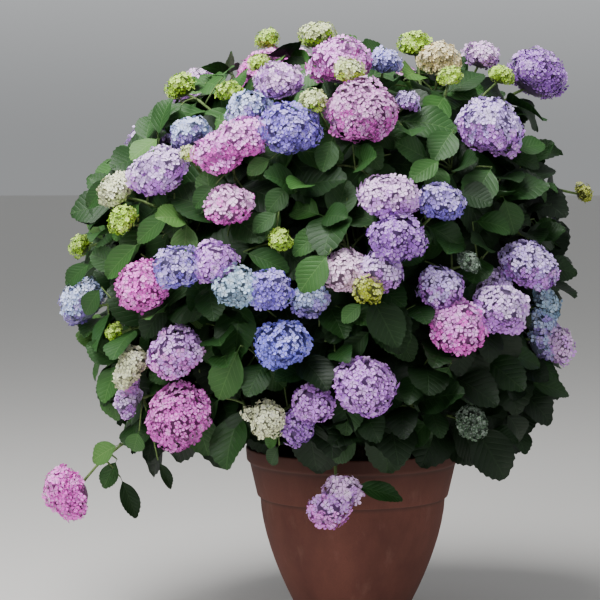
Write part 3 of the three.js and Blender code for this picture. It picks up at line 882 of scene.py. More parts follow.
def leaf_shape(fold, droop, wave, phase, twist):
    """A leaf one unit long, along +Y and facing +Z, on its stalk, with a toothed edge"""
    bm = bmesh.new()
    bmesh.ops.create_grid(bm, x_segments=4, y_segments=LEAF_ROWS, size=1.0)
    edges = [e for e in bm.edges if all(abs(abs(v.co.x) - 1) < 1e-4 for v in e.verts)]
    teeth = [e for e in edges if max(v.co.y for v in e.verts) > TOOTHLESS_ROWS / LEAF_ROWS * 2 - 1]
    made = bmesh.ops.subdivide_edges(bm, edges=teeth, cuts=1)
    tips = {v for v in made["geom_inner"] if isinstance(v, bmesh.types.BMVert)}
    flat = []
    for vert in bm.verts:
        row = (vert.co.y + 1) / 2 * LEAF_ROWS
        side = vert.co.x
        share = (max(row - 1, 0) / (LEAF_ROWS - 1)) ** LEAF_CROWDING
        rise = (share / LEAF_WIDEST) ** (LEAF_WIDEST * LEAF_FULLNESS)
        fall = (max(1 - share, 0) / (1 - LEAF_WIDEST)) ** ((1 - LEAF_WIDEST) * LEAF_FULLNESS)
        half = max(LEAF_HALF_BREADTH * rise * fall, PETIOLE_HALF if row < 2 else 0)
        across = side * half
        along = mix(PETIOLE, 1, share) if row >= 1 else row * PETIOLE
        along += LEAF_SWEEP * abs(across) * (1 - share)
        if vert in tips:
            across += math.copysign(TOOTH_OUT, side)
            along += TOOTH_FORWARD
        flat.append((across + 0.5, min(along, 1)))
        ripple = abs(side) ** 2 * math.sin(share * LEAF_WAVES + phase) * WAVE_DEPTH
        rise = fold * abs(across) + wave * ripple
        angle, turn = droop * along, twist * along
        vert.co = (
            across * math.cos(turn),
            math.sin(angle) / droop + math.sin(angle) * rise,
            -(1 - math.cos(angle)) / droop + math.cos(angle) * rise + across * math.sin(turn))
    return Shape(bm, np.array(flat))


def floret_shape(cup, lift, spread):
    """A floret of unit radius facing +Z: two pairs of petals and a bead in the middle.
    The petals' inner faces have role 0, their outer faces role 1 and the bead role 2."""
    bm = bmesh.new()
    last = len(PETAL_ROWS) - 1
    cupped, edge_cupped = PETAL_CUPPING
    radius, depth, lifted = BEAD_SIZE
    for petal in range(4):
        made = bmesh.ops.create_grid(bm, x_segments=2, y_segments=last, size=1.0)["verts"]
        turn = petal * math.pi / 2
        for vert in made:
            row = round((vert.co.y + 1) / 2 * last)
            along, half = PETAL_ROWS[row]
            across = vert.co.x * half * spread
            along -= PETAL_NOTCH * abs(vert.co.x) if row == last else 0.0
            rise = cup * along ** 2 * (cupped + edge_cupped * abs(vert.co.x))
            rise += lift * along if petal % 2 else 0.0
            rise -= PETAL_CURL if row == last else 0.0
            vert.co = (
                across * math.cos(turn) - along * math.sin(turn),
                across * math.sin(turn) + along * math.cos(turn), rise)
        for face in {face for vert in made for face in vert.link_faces}:
            inner = min(vert.co.xy.length for vert in face.verts) < 0.1
            face.material_index = 0 if inner else 1
    bmesh.ops.remove_doubles(bm, verts=bm.verts[:], dist=0.001)
    bead = bmesh.ops.create_cone(
        bm, cap_ends=False, segments=4, radius1=radius, radius2=0.0, depth=depth)["verts"]
    for vert in bead:
        vert.co.z += lifted
    for face in {face for vert in bead for face in vert.link_faces}:
        face.material_index = 2
    bmesh.ops.recalc_face_normals(bm, faces=bm.faces[:])
    if sum(face.normal.z for face in bm.faces) < 0:
        bmesh.ops.reverse_faces(bm, faces=bm.faces[:])
    return Shape(bm)


def ball_shape(sides, bands):
    bm = bmesh.new()
    bmesh.ops.create_uvsphere(bm, u_segments=sides, v_segments=bands, radius=1.0)
    return Shape(bm)


def rod_shape(sides, steps):
    """A closed rod of unit radius, from z 0 to z 1, in even steps"""
    bm = bmesh.new()
    bmesh.ops.create_cone(
        bm, cap_ends=True, cap_tris=False, segments=sides, radius1=1, radius2=1, depth=1)
    long_edges = [e for e in bm.edges if abs(e.verts[0].co.z - e.verts[1].co.z) > 0.5]
    bmesh.ops.subdivide_edges(bm, edges=long_edges, cuts=steps - 1, use_grid_fill=True)
    bmesh.ops.translate(bm, verts=bm.verts[:], vec=(0, 0, 0.5))
    return Shape(bm)


def along_line(shape, line, first, last, radii, relief=None):
    """A rod's points laid along part of a line, tapering, with a relief on its skin"""
    x, y, shares = shape.points.T
    even = np.linspace(0, 1, WAY_STEPS + 1)
    ways = np.gradient(line.at(np.linspace(first, last, WAY_STEPS + 1)), axis=0)
    ways = units(np.stack([np.interp(shares, even, axis) for axis in ways.T], axis=1))
    level = units(np.cross(ways, unit(np.cross(ways[0], ROD_ASIDE))))
    other = np.cross(ways, level)
    radius = mix(*radii, shares)
    if relief is not None:
        radius = radius * relief(shape.points)
    return (line.at(mix(first, last, shares)) + level * (x * radius)[:, None]
            + other * (y * radius)[:, None])


# Materials

def linear(colour):
    """A colour of 0 to 255 as it looks, in linear light"""
    return tuple(
        (value / 255 / 12.92) if value <= 10 else ((value / 255 + 0.055) / 1.055) ** 2.4
        for value in colour) + (1.0,)


def toned(colour, light):
    """The colour mixed with white by a share above 0, or darkened by one below 0"""
    if light >= 0:
        return tuple(mix(value, 255, light) for value in colour)
    return tuple(value * (1 + light) for value in colour)


class Wiring:
    """A node tree, and short ways to add to it"""

    def __init__(self, tree):
        self.tree = tree

    def feed(self, socket, value):
        if isinstance(value, bpy.types.NodeSocket):
            self.tree.links.new(value, socket)
        else:
            socket.default_value = value

    def node(self, kind, inputs=(), **settings):
        """A new node's outputs, with its settings made and its inputs fed"""
        made = self.tree.nodes.new(f"ShaderNode{kind}")
        for name, value in settings.items():
            setattr(made, name, value)
        for name, value in dict(inputs).items():
            self.feed(made.inputs[name], value)
        return made.outputs

    def grouped(self, group, **values):
        return self.node("Group", values, node_tree=group.tree)

    def maths(self, operation, a, b=0.0, clamp=False):
        return self.node("Math", {0: a, 1: b}, operation=operation, use_clamp=clamp)[0]

    def times(self, a, b):
        return self.maths("MULTIPLY", a, b)

    def less(self, a, b):
        return self.maths("SUBTRACT", a, b)

    def ramped(self, value, least, most):
        """A value eased from 0 at least to 1 at most"""
        return self.node(
            "MapRange", {"Value": value, "From Min": least, "From Max": most},
            interpolation_type="SMOOTHSTEP")[0]

    def mixed_value(self, share, a, b):
        return self.node("Mix", {0: share, 2: a, 3: b}, data_type="FLOAT")[0]

    def layered(self, colour, layers):
        """A colour under layers, each with its mask, how much of it covers, and its colour"""
        tone = linear(colour)
        for mask, cover, over in layers:
            share = self.times(mask, cover)
            tone = self.node("Mix", {0: share, 6: tone, 7: linear(over)}, data_type="RGBA")[2]
        return tone

    def relief(self, height, strength, depth):
        return self.node("Bump", {"Height": height, "Strength": strength, "Distance": depth})[0]


class Effect(Wiring):
    """A node group with values going in, and masks, tones and a normal coming out"""

    def __init__(self, name, outputs, **inputs):
        super().__init__(bpy.data.node_groups.new(name, "ShaderNodeTree"))
        new_socket = self.tree.interface.new_socket
        for label, value in inputs.items():
            new_socket(label, in_out="INPUT", socket_type="NodeSocketFloat").default_value = value
        for label in outputs:
            kind = "NodeSocketVector" if label == "Normal" else "NodeSocketFloat"
            new_socket(label, in_out="OUTPUT", socket_type=kind)
        self.given = self.tree.nodes.new("NodeGroupInput").outputs
        self.result = self.tree.nodes.new("NodeGroupOutput").inputs

    def give(self, **values):
        for label, value in values.items():
            self.feed(self.result[label], value)
        return self


class Finish(Wiring):
    """A material, built up on its Principled shader"""

    def __init__(self, name, colour, roughness, **settings):
        self.material = bpy.data.materials.new(name)
        self.material.use_nodes = True
        super().__init__(self.material.node_tree)
        self.skin = self.tree.nodes["Principled BSDF"].inputs
        self.dress(Base_Color=linear(colour), Roughness=roughness, **settings)

    def dress(self, **values):
        for label, value in values.items():
            self.feed(self.skin[label.replace("_", " ")], value)
        return self.material


def grain_effect():
    """Fine grain on an object: its tone, and the relief that it gives"""
    group = Effect("grain", ("Tone", "Normal"), Scale=400.0, Relief=0.3, Depth=0.0006)
    speckle = group.node("TexNoise", {
        "Vector": group.node("TexCoord")["Object"], "Scale": group.given["Scale"],
        "Detail": 4.0, "Roughness": 0.6})[0]
    relief = group.relief(speckle, group.given["Relief"], group.given["Depth"])
    return group.give(Tone=speckle, Normal=relief)


def patches_effect():
    """Soft-edged patches over an object, more of them as the threshold falls"""
    group = Effect("patches", ("Mask",), Scale=12.0, Threshold=0.5, Softness=0.1, Stretch=1.0)
    stretch = group.node("CombineXYZ", {"X": 1.0, "Y": 1.0, "Z": group.given["Stretch"]})[0]
    spot = group.node(
        "VectorMath", {0: group.node("TexCoord")["Object"], 1: stretch}, operation="MULTIPLY")[0]
    clouds = group.node("TexNoise", {
        "Vector": spot, "Scale": group.given["Scale"], "Detail": 6.0, "Roughness": 0.62})[0]
    over = group.less(clouds, group.given["Threshold"])
    return group.give(Mask=group.maths("DIVIDE", over, group.given["Softness"], clamp=True))


def veins_effect():
    """A leaf's midrib and side veins, and its puckered relief, from the leaf's own map"""
    group = Effect("veins", ("Veins", "Edge", "Normal"))
    spot = group.node("UVMap", uv_map=LEAF_MAP)[0]
    across, along = (
        group.maths("FRACT", group.times(part, cells))
        for part, cells in zip(group.node("SeparateXYZ", {0: spot}), LEAF_MAP_CELLS))
    off = group.maths("ABSOLUTE", group.less(across, 0.5))
    midrib = group.less(1.0, group.ramped(off, *MIDRIB_END))
    step = group.times(group.less(along, group.times(off, VEIN_SWEEP)), VEIN_PAIRS)
    wave = group.maths("ABSOLUTE", group.less(group.maths("FRACT", step), 0.5))
    near = group.times(wave, 2.0)
    inner = group.less(1.0, group.ramped(off, *VEINS_FADE))
    side_veins = group.times(group.ramped(near, *VEIN_BREADTH), inner)
    veins = group.maths("MAXIMUM", midrib, side_veins)
    net = group.node(
        "TexVoronoi", {"Vector": spot, "Scale": NET_SCALE}, feature="DISTANCE_TO_EDGE")[0]
    pucker = group.less(1.0, group.maths("POWER", near, 2.0))
    pucker = group.maths("ADD", group.times(pucker, PUCKER), group.times(net, NET))
    return group.give(
        Veins=veins, Edge=group.ramped(off, *EDGE_DARKENS),
        Normal=group.relief(group.less(pucker, veins), *LEAF_RELIEF))


def terracotta_finish(grain, patches):
    """Clouded fired clay with pale bloom, painted shade about the collar, darker at the foot"""
    clay = Finish("weathered terracotta", (120, 66, 52), 0.85)
    body = clay.grouped(grain, Scale=900.0, Relief=0.35, Depth=0.0006)
    clouds = clay.grouped(patches, Scale=7.0, Threshold=0.44, Softness=0.22, Stretch=0.5)
    bloom = clay.grouped(patches, Scale=22.0, Threshold=0.58, Softness=0.16, Stretch=0.35)
    height = clay.node("SeparateXYZ", {0: clay.node("TexCoord")["Object"]})[2]
    layers = [
        (clay.ramped(body["Tone"], 0.3, 0.7), 1.0, (114, 66, 54)),
        (clouds["Mask"], 1.0, (87, 47, 38)),
        (bloom["Mask"], 0.22, (146, 112, 98)),
        # painted shade: darker up the collar, for the shade that the foliage casts on it
        (clay.ramped(height, COLLAR_FOOT - 0.01, POT_HEIGHT), 0.8, (66, 34, 26))]
    # painted shadow: a dark band just under the collar's foot and under the bead, where each ledge
    # casts its shadow
    for foot in (COLLAR_FOOT, BEAD_FOOT - 0.004):
        under = clay.less(foot, height)
        ledge_shadow = clay.less(1.0, clay.ramped(under, 0.001, 0.012))
        ledge_shadow = clay.times(ledge_shadow, clay.maths("GREATER_THAN", under, 0.0))
        layers.append((ledge_shadow, 0.6, (58, 40, 34)))
    layers.append((clay.less(1.0, clay.ramped(height, 0.0, 0.12)), 0.55, (84, 52, 44)))
    return clay.dress(Base_Color=clay.layered((95, 53, 43), layers), Normal=body["Normal"])


def compost_finish(grain):
    soil = Finish("moist compost", (46, 36, 28), 0.95)
    body = soil.grouped(grain, Scale=260.0, Relief=0.9, Depth=0.003)
    layers = [(soil.ramped(body["Tone"], 0.35, 0.7), 1.0, (72, 56, 42))]
    return soil.dress(Base_Color=soil.layered((34, 26, 20), layers), Normal=body["Normal"])


def bark_finish(name, dark, pale, grain, patches):
    bark = Finish(name, dark, 0.9)
    body = bark.grouped(grain, Scale=420.0, Relief=0.8, Depth=0.0012)
    flakes = bark.grouped(patches, Scale=90.0, Threshold=0.46, Softness=0.12, Stretch=0.18)
    tone = bark.layered(dark, [(flakes["Mask"], 1.0, pale)])
    return bark.dress(Base_Color=tone, Normal=body["Normal"])


def leaf_finish(name, colour, vein, veins):
    leaf = Finish(name, colour, 0.50, Specular_IOR_Level=0.30)
    lines = leaf.grouped(veins)
    tone = leaf.layered(
        colour, [(lines["Edge"], 0.22, toned(colour, -0.25)), (lines["Veins"], 0.5, vein)])
    return leaf.dress(Base_Color=tone, Normal=lines["Normal"])


def petal_finish(name, colour, grain):
    petal = Finish(name, colour, 0.7, Sheen_Weight=0.15)
    crinkle = petal.grouped(grain, Scale=520.0, Relief=0.25, Depth=0.0005)
    return petal.dress(Normal=crinkle["Normal"])


HUES = {
    "hot pink": (250, 100, 230), "magenta pink": (224, 93, 208), "pink": (250, 149, 248),
    "pale pink": (250, 180, 245), "shell pink": (250, 205, 244), "rosy mauve": (212, 133, 208),
    "magenta lilac": (247, 145, 250), "mauve": (223, 155, 250), "lilac": (212, 137, 243),
    "pale lilac": (223, 185, 250), "lavender": (238, 189, 250), "pale lavender": (206, 175, 250),
    "blue lavender": (164, 140, 222), "purple": (167, 103, 211), "blue violet": (138, 116, 227),
    "blue": (132, 130, 250), "deep blue": (174, 167, 250), "pale blue": (187, 203, 250),
    "ice blue": (171, 202, 230), "cream": (245, 248, 203), "beige": (241, 221, 161),
    "lime cream": (218, 232, 152), "lime": (182, 228, 44), "yellow lime": (162, 173, 24),
    # painted shade: the pale green is darkened for the shade that its heads lie in
    "shaded pale green": (87, 113, 88),
}
HALF_OPEN_HUES = {"cream", "beige", "lime cream", "lime", "yellow lime", "shaded pale green"}
# A hue's tones, which are its material slots in order: lit and shaded copies of the hue,
# from the painted light of the light tone to the painted shade of the shade tone
TONES = {"light": 0.34, "middle": 0.0, "deep": -0.26, "shade": -0.52}
LIGHT, MIDDLE, DEEP, SHADE = range(len(TONES))
# The tones of a floret's inner and outer faces, from painted light on the tops of the knobs
# to painted shade in the hollows
FLORET_TONES = np.array([
    (LIGHT, LIGHT), (MIDDLE, LIGHT), (LIGHT, MIDDLE), (MIDDLE, LIGHT),
    (MIDDLE, MIDDLE), (DEEP, MIDDLE), (MIDDLE, DEEP), (DEEP, DEEP)])
# How far a floret's tone falls in the hollows as painted shade and rises as it faces up as
# painted light, and how far it scatters
HOLLOW_SHADE_TONES = 3.5
FACING_LIGHT_TONES = 2.0
TONE_SCATTER = (0.5, 4.0)
# The hue that some florets of a head take on its underside
BLUSHES = {
    "pink": "hot pink", "pale pink": "hot pink", "rosy mauve": "magenta pink",
    "magenta lilac": "magenta pink", "pale lilac": "lilac", "pale lavender": "lilac",
    "lavender": "mauve", "blue lavender": "blue violet", "pale blue": "blue lavender",
    "mauve": "magenta lilac", "lime cream": "lime",
}
BLUSH_RISE = -0.16
BLUSH_SCATTER = 0.25
BEAD = (206, 204, 214)
# Leaf tints, dark to light, with their veins: partly the leaves' own greens, partly lit and shaded
# copies as painted light and shade
LEAF_COLOURS = (
    ((15, 35, 12), (34, 57, 28)),
    ((21, 47, 17), (44, 72, 35)),
    ((30, 62, 24), (58, 92, 45)),
    ((41, 78, 33), (74, 112, 57)),
    ((56, 98, 43), (92, 132, 70)),
    ((80, 122, 58), (120, 154, 90)),
)


class Finishes:
    """Every material, made once"""

    def __init__(self):
        grain, patches, veins = grain_effect(), patches_effect(), veins_effect()
        self.terracotta = terracotta_finish(grain, patches)
        self.compost = compost_finish(grain)
        self.bark, self.wood, self.shoot = (
            bark_finish(name, dark, pale, grain, patches) for name, dark, pale in (
                ("old bark", (82, 66, 50), (132, 112, 88)),
                ("young wood", (92, 88, 56), (128, 118, 82)),
                ("green shoot", (84, 108, 56), (110, 132, 76))))
        self.leaves = [
            leaf_finish(f"leaf {i}", colour, vein, veins)
            for i, (colour, vein) in enumerate(LEAF_COLOURS)]
        self.petals = [
            petal_finish(f"{hue} petal {tone}", toned(colour, light), grain)
            for hue, colour in HUES.items() for tone, light in TONES.items()]
        self.bead_slot = len(self.petals)
        self.petals.append(petal_finish("floret bead", BEAD, grain))


def put(name, data, materials=()):
    """A new object of the scene"""
    data.name = name
    made = bpy.data.objects.new(name, data)
    bpy.context.scene.collection.objects.link(made)
    for material in materials:
        data.materials.append(material)
    return made


def piece(name, mesh, nodes, materials):
    """A finished mesh as a piece of the plant, in place of the nodes that it stands for"""
    made = put(name, mesh, materials)
    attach(made, "root")
    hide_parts(*nodes)


def spun(outline, sides):
    """A solid turned about the pot's axis, from (radius, height) corners"""
    bm = bmesh.new()
    verts = [bm.verts.new((radius, 0, height)) for radius, height in outline]
    edges = [bm.edges.new(pair) for pair in zip(verts, verts[1:])]
    bmesh.ops.spin(
        bm, geom=verts + edges, cent=(0, 0, 0), axis=(0, 0, 1), angle=2 * math.pi,
        steps=sides, use_merge=True)
    bmesh.ops.remove_doubles(bm, verts=bm.verts[:], dist=WELD)
    bmesh.ops.recalc_face_normals(bm, faces=bm.faces[:])
    return bm


def rounded(outline, radius):
    """An outline with each inner corner turned in an arc of about the radius given"""
    points = [outline[0]]
    for before, corner, after in zip(outline, outline[1:], outline[2:]):
        before, corner, after = (np.array(point, float) for point in (before, corner, after))
        back, on = before - corner, after - corner
        cut = min(radius, *(np.linalg.norm(edge) * CORNER_SHARE for edge in (back, on)))
        start, end = corner + unit(back) * cut, corner + unit(on) * cut
        points += [
            tuple(curved(step / CORNER_STEPS, start, corner, end))
            for step in range(CORNER_STEPS + 1)]
    return points + [outline[-1]]


def mesh_from(bm, smooth=True):
    mesh = bpy.data.meshes.new("made")
    for face in bm.faces:
        face.smooth = smooth
    bm.to_mesh(mesh)
    bm.free()
    return mesh


def wall_line(foot, top, swell):
    """The (radius, height) corners of a wall of the pot, from its foot up"""
    shares = [i / WALL_RINGS for i in range(WALL_RINGS + 1)]
    return [
        (swelling_wall(foot[0], top[0], share, swell), mix(foot[1], top[1], share))
        for share in shares]


def inner_line(gap=0.0):
    return wall_line(
        (INNER_FOOT_RADIUS - gap, POT_FLOOR + gap), (SOIL_EDGE_RADIUS - gap, SOIL_EDGE_HEIGHT),
        INNER_SWELL)


def make_pot(finishes):
    outline = [
        (0, 0),
        *wall_line((FOOT_RADIUS, 0), (NECK_RADIUS, COLLAR_FOOT), OUTER_SWELL),
        (COLLAR_FOOT_RADIUS, COLLAR_FOOT),
        (RIM_RADIUS - BEAD_PROUD - RIM_LEAN, BEAD_FOOT - BEAD_SLOPE),
        (RIM_RADIUS - RIM_LEAN, BEAD_FOOT),
        (RIM_RADIUS, POT_HEIGHT),
        (INNER_RIM_RADIUS, POT_HEIGHT),
        *inner_line()[::-1],
        (0, POT_FLOOR),
    ]
    bm = spun(rounded(outline, CORNER_RADIUS), POT_SIDES)
    piece("pot_body", mesh_from(bm), ["pot"], [finishes.terracotta])


def make_compost(finishes):
    wall = inner_line(SOIL_GAP)
    edge = wall[-1][0]
    top = [
        (edge * (1 - i / SOIL_RINGS), SOIL_EDGE_HEIGHT + SOIL_RISE * min(1, i / SLOPING_RINGS))
        for i in range(1, SOIL_RINGS + 1)]
    bm = spun([(0, POT_FLOOR + SOIL_GAP), *wall, *top], POT_SIDES)
    for vert in bm.verts:
        top_side = vert.co.z > SOIL_EDGE_HEIGHT - CLODS_FROM_TOP
        if top_side and vert.co.xy.length < edge - CLODS_FROM_EDGE:
            vert.co.z += sum(height * noise.noise(vert.co * scale) for height, scale in CLODS)
    piece("compost_fill", mesh_from(bm), ["compost"], [finishes.compost])


def make_stool(finishes):
    """The stool, a ridged dome that flares where it meets the compost"""
    foot = STOOL_FOOT[2] - STOOL_SINK
    outline = [(0, foot), (STOOL_RADIUS + STOOL_SKIRT, foot)]
    for band in range(1, STOOL_BANDS + 1):
        share = band / STOOL_BANDS
        angle = share * math.pi / 2
        radius = STOOL_RADIUS * math.cos(angle) + STOOL_FLARE * (1 - share) ** 2
        radius = radius if band < STOOL_BANDS else 0
        outline.append((radius, STOOL_FOOT[2] + STOOL_RADIUS * math.sin(angle)))
    bm = spun(outline, STOOL_SIDES)
    for vert in bm.verts:
        wander, knot = (
            height * noise.noise(vert.co * scale) for height, scale in (RIDGE_WANDER, STOOL_KNOTS))
        ridge = math.sin(math.atan2(vert.co.y, vert.co.x) * STOOL_RIDGES + wander)
        swell = 1 + RIDGE_DEPTH * ridge + knot
        vert.co.x *= swell
        vert.co.y *= swell
    piece("stool_wood", mesh_from(bm), ["stool"], [finishes.bark])


def bark_relief(key):
    """Ridges and furrows that run along a cane"""
    ridge, ridge_level, ridge_long = BARK_RIDGES
    crack, crack_level, crack_long = BARK_CRACKS

    def relief(points):
        return np.array([
            1 + ridge * noise.noise((x * ridge_level + key * 7, y * ridge_level, z * ridge_long))
            + crack * noise.noise((x * crack_level, y * crack_level + key, z * crack_long))
            for x, y, z in points])

    return relief


def joint_relief(points):
    """The swellings at a shoot's leaf joints"""
    return 1 + JOINT_SWELL * np.exp(-((points[:, 2] * JOINTS % 1 - 0.5) / JOINT_LENGTH) ** 2)


def on_side(rows, side):
    return [row for row in rows if row["side"] == side]


def foliage_nodes(masses, side):
    return [f"foliage_{mass['name']}" for mass in on_side(masses, side)]


def make_canes(masses, finishes):
    rod = rod_shape(*CANE_ROD)
    pile = Pile()
    for key, mass in enumerate(masses):
        pile.add_rod(rod, mass["lead"], CANE_RADII, 0, last=CANE_SHARE, relief=bark_relief(key))
    nodes = [f"cane_{mass['name']}" for mass in masses]
    piece("canes", pile.joined(), nodes, [finishes.bark])


def make_shoots(masses, shoots, twigs, finishes):
    """Stems, shoots and twigs, a piece for each side of the plant"""
    stem, shoot_rod, twig_rod = (rod_shape(*rod) for rod in (STEM_ROD, SHOOT_ROD, TWIG_ROD))
    for side in SIDES:
        pile = Pile()
        for key, mass in enumerate(masses):
            if mass["side"] == side:
                relief = bark_relief(key + STEM_KEYS)
                pile.add_rod(stem, mass["lead"], STEM_RADII, 0, first=CANE_SHARE, relief=relief)
        for shoot in on_side(shoots, side):
            pile.add_rod(shoot_rod, shoot["line"], SHOOT_RADII, 1, relief=joint_relief)
        for twig in on_side(twigs, side):
            pile.add_rod(twig_rod, twig["line"], TWIG_RADII, 1)
        piece(f"shoots_{side}", pile.joined(), foliage_nodes(masses, side),
              [finishes.wood, finishes.shoot])


# Leaves

LEAF_FORMS = [
    leaf_shape(*form) for form in (
        (0.22, 0.55, 0.25, 0.0, 0.10), (0.30, 0.85, 0.30, 1.3, -0.12),
        (0.14, 0.40, 0.20, 2.4, 0.18), (0.26, 1.05, 0.28, 3.6, -0.05),
        (0.10, 0.70, 0.35, 4.4, 0.06), (0.34, 0.60, 0.18, 5.2, -0.20))]
FLATTER_FORMS = (0, 2)
# The points of a leaf's blade that are tested for room
LEAF_TESTS = [form.points[form.points[:, 1] > 0.18][::3] for form in LEAF_FORMS]


def leaf_axes(along, face, length, breadth=1.0):
    """A leaf's axes across it, along it and off its face, turned square to its way"""
    face = unit(face - along * np.dot(face, along))
    return np.array([np.cross(along, face) * breadth, along, face]) * length


class Foliage:
    """Leaves put on one by one, where there is room"""

    def __init__(self, room, random):
        self.room = room
        self.random = random
        self.made = []

    def leaf(self, node, axis, turn, length, side, tint, fall):
        """One leaf, turned a little and tried again where it would touch something"""
        random, room = self.random, self.room
        outward = unit((node - STOOL_FOOT) * (1, 1, 0))
        light = 1 - np.clip((node[1] - OPEN_FROM) / (OPEN_TO - OPEN_FROM), 0, 1)
        level = unit(np.cross(axis, UP + outward * OFF_PLUMB))
        form = random.randint(len(LEAF_FORMS))
        for twist in LEAF_TURNS:
            along = turned(level, axis, turn + twist) * POINTS_ASIDE + axis * POINTS_ALONG
            along = unit(along + outward * POINTS_OUT - UP * fall)
            face = UP * FACES_UP + outward * random.uniform(*FACES_OUT)
            face = face + OPEN_SIDE * (FACES_OPEN * light) * random.uniform(*OPEN_SCATTER)
            face = face + turned(level, UP, random.uniform(0, ANY_TURN)) * FACES_ASIDE
            axes = leaf_axes(along, face, length)
            points = LEAF_TESTS[form] @ axes + node
            blocked = (
                room.outside(points) or room.in_heads(points, HEAD_ROOM) or room.in_pot(points)
                or room.hides_head(points) or room.crowded(points, LEAF_ROOM))
            if not blocked:
                self.keep(side, form, axes, node, tint)
                return

    def keep(self, side, form, axes, node, tint):
        self.room.take(LEAF_TESTS[form] @ axes + node, "leaf")
        self.made.append((side, form, axes, node, tint))

    def set_leaf(self, stalk):
        """A leaf from the end of its stalk to a tip that shows where it should"""
        _, _, across, up, nudge, breadth, tint = stalk["row"]
        node = stalk["line"].at(1)[0]
        tip = shown_place(across, up, nudge)
        along = on_sight(across, up, max(-tip[1], -node[1] - SET_LEAF_LEAN)) - node
        face = unit(EYE - node) + UP * SET_LEAF_UP
        axes = leaf_axes(unit(along), face, np.linalg.norm(along), breadth)
        self.keep(stalk["side"], self.random.choice(FLATTER_FORMS), axes, node, tint)

    def pairs(self, limb, leaves, tints, least, head_seat=0.0):
        """Pairs of leaves down a limb, each pair across the last"""
        line, random = limb["line"], self.random
        first_turn = random.uniform(0, math.pi)
        for i, ((gap, size), tint) in enumerate(zip(leaves, tints)):
            share = 1 - gap / line.length - (0 if i else head_seat) / line.length
            if share <= least:
                continue
            node, axis = line.at(share)[0], line.way(share)
            for turn in (first_turn + i * math.pi / 2, first_turn + i * math.pi / 2 + math.pi):
                fall = random.uniform(*POINTS_DOWN)
                # painted light and shade: the tint rises up the crown and to its left
                lit = np.clip((node @ LIT_WAY - LIT_MIDDLE) * LIT_TINTS, LIT_LEAST, LIT_MOST)
                shade = round(float(tint + lit + random.uniform(-TINT_SCATTER, TINT_SCATTER)))
                shade = int(np.clip(shade, 0, len(LEAF_COLOURS) - 1))
                length = size * random.uniform(*LEAF_SIZES)
                self.leaf(node, axis, turn, length, limb["side"], shade, fall)


def grow_leaves(shoots, twigs, stalks, room, random):
    foliage = Foliage(room, random)
    for stalk in stalks:
        foliage.set_leaf(stalk)
    for shoot in shoots:
        head = shoot["head"]
        if not head:
            foliage.pairs(shoot, LEAFY_LEAVES, SHOOT_TINTS, LEAST_SHOOT_SHARE)
        elif shoot["name"] not in BARE_MASSES:
            seat = head["breadth"] * HEAD_SEAT
            foliage.pairs(shoot, FLOWERING_LEAVES, SHOOT_TINTS, LEAST_SHOOT_SHARE, seat)
    for twig in twigs:
        foliage.pairs(twig, TWIG_LEAVES, twig["tints"], LEAST_TWIG_SHARE)
    return foliage.made


def make_leaves(leaves, masses, finishes):
    for side in SIDES:
        pile = Pile()
        for form, shape in enumerate(LEAF_FORMS):
            rows = [row for row in leaves if row[:2] == (side, form)]
            if rows:
                frames, places, tints = (np.array(part) for part in list(zip(*rows))[2:])
                shifts = np.stack(np.divmod(tints, LEAF_MAP_CELLS[0])[::-1], axis=1)
                pile.add(shape, laid(shape, frames, places), tints[:, None], shifts)
        piece(f"leaves_{side}", pile.joined(), foliage_nodes(masses, side),
              finishes.leaves)


# Flower heads

FLORET_FORMS = [
    floret_shape(*form) for form in (
        (0.22, 0.10, 1.0), (0.34, 0.06, 0.94), (0.12, 0.14, 1.05), (0.42, 0.10, 0.90))]
SHADE_CORE = ball_shape(10, 7)


def lobes_of(heads):
    """The place, breadth, hue and axis of each lobe of the heads"""
    for head in heads:
        for across, up, share, hue in head["lobes"]:
            shift = np.array([across, 0.0, up]) * head["breadth"]
            yield head["place"] + shift, head["breadth"] * share, hue, head["axis"]


def floret_size(breadth, hue):
    if breadth < YOUNG_BREADTH:
        return BUD_RADIUS
    return HALF_OPEN_RADIUS if hue in HALF_OPEN_HUES else FLORET_RADIUS


def axes_about(axis):
    """Two axes across the one given, and it"""
    across = unit(np.cross(axis, NEARLY_UP))
    return np.array([across, np.cross(axis, across), axis])


def even_over_ball(count, least, random):
    """Even directions over a ball, from its top down to a least sine, a little jittered"""
    index = np.arange(count)
    sine = mix(1, least, (index + 0.5) / count)
    bearing = index * GOLDEN_TURN + random.uniform(0, ANY_TURN)
    level = np.sqrt(1 - sine ** 2)
    ways = np.stack([np.cos(bearing) * level, np.sin(bearing) * level, sine], axis=1)
    return units(ways + random.normal(0, EVEN_SCATTER / math.sqrt(count), ways.shape))


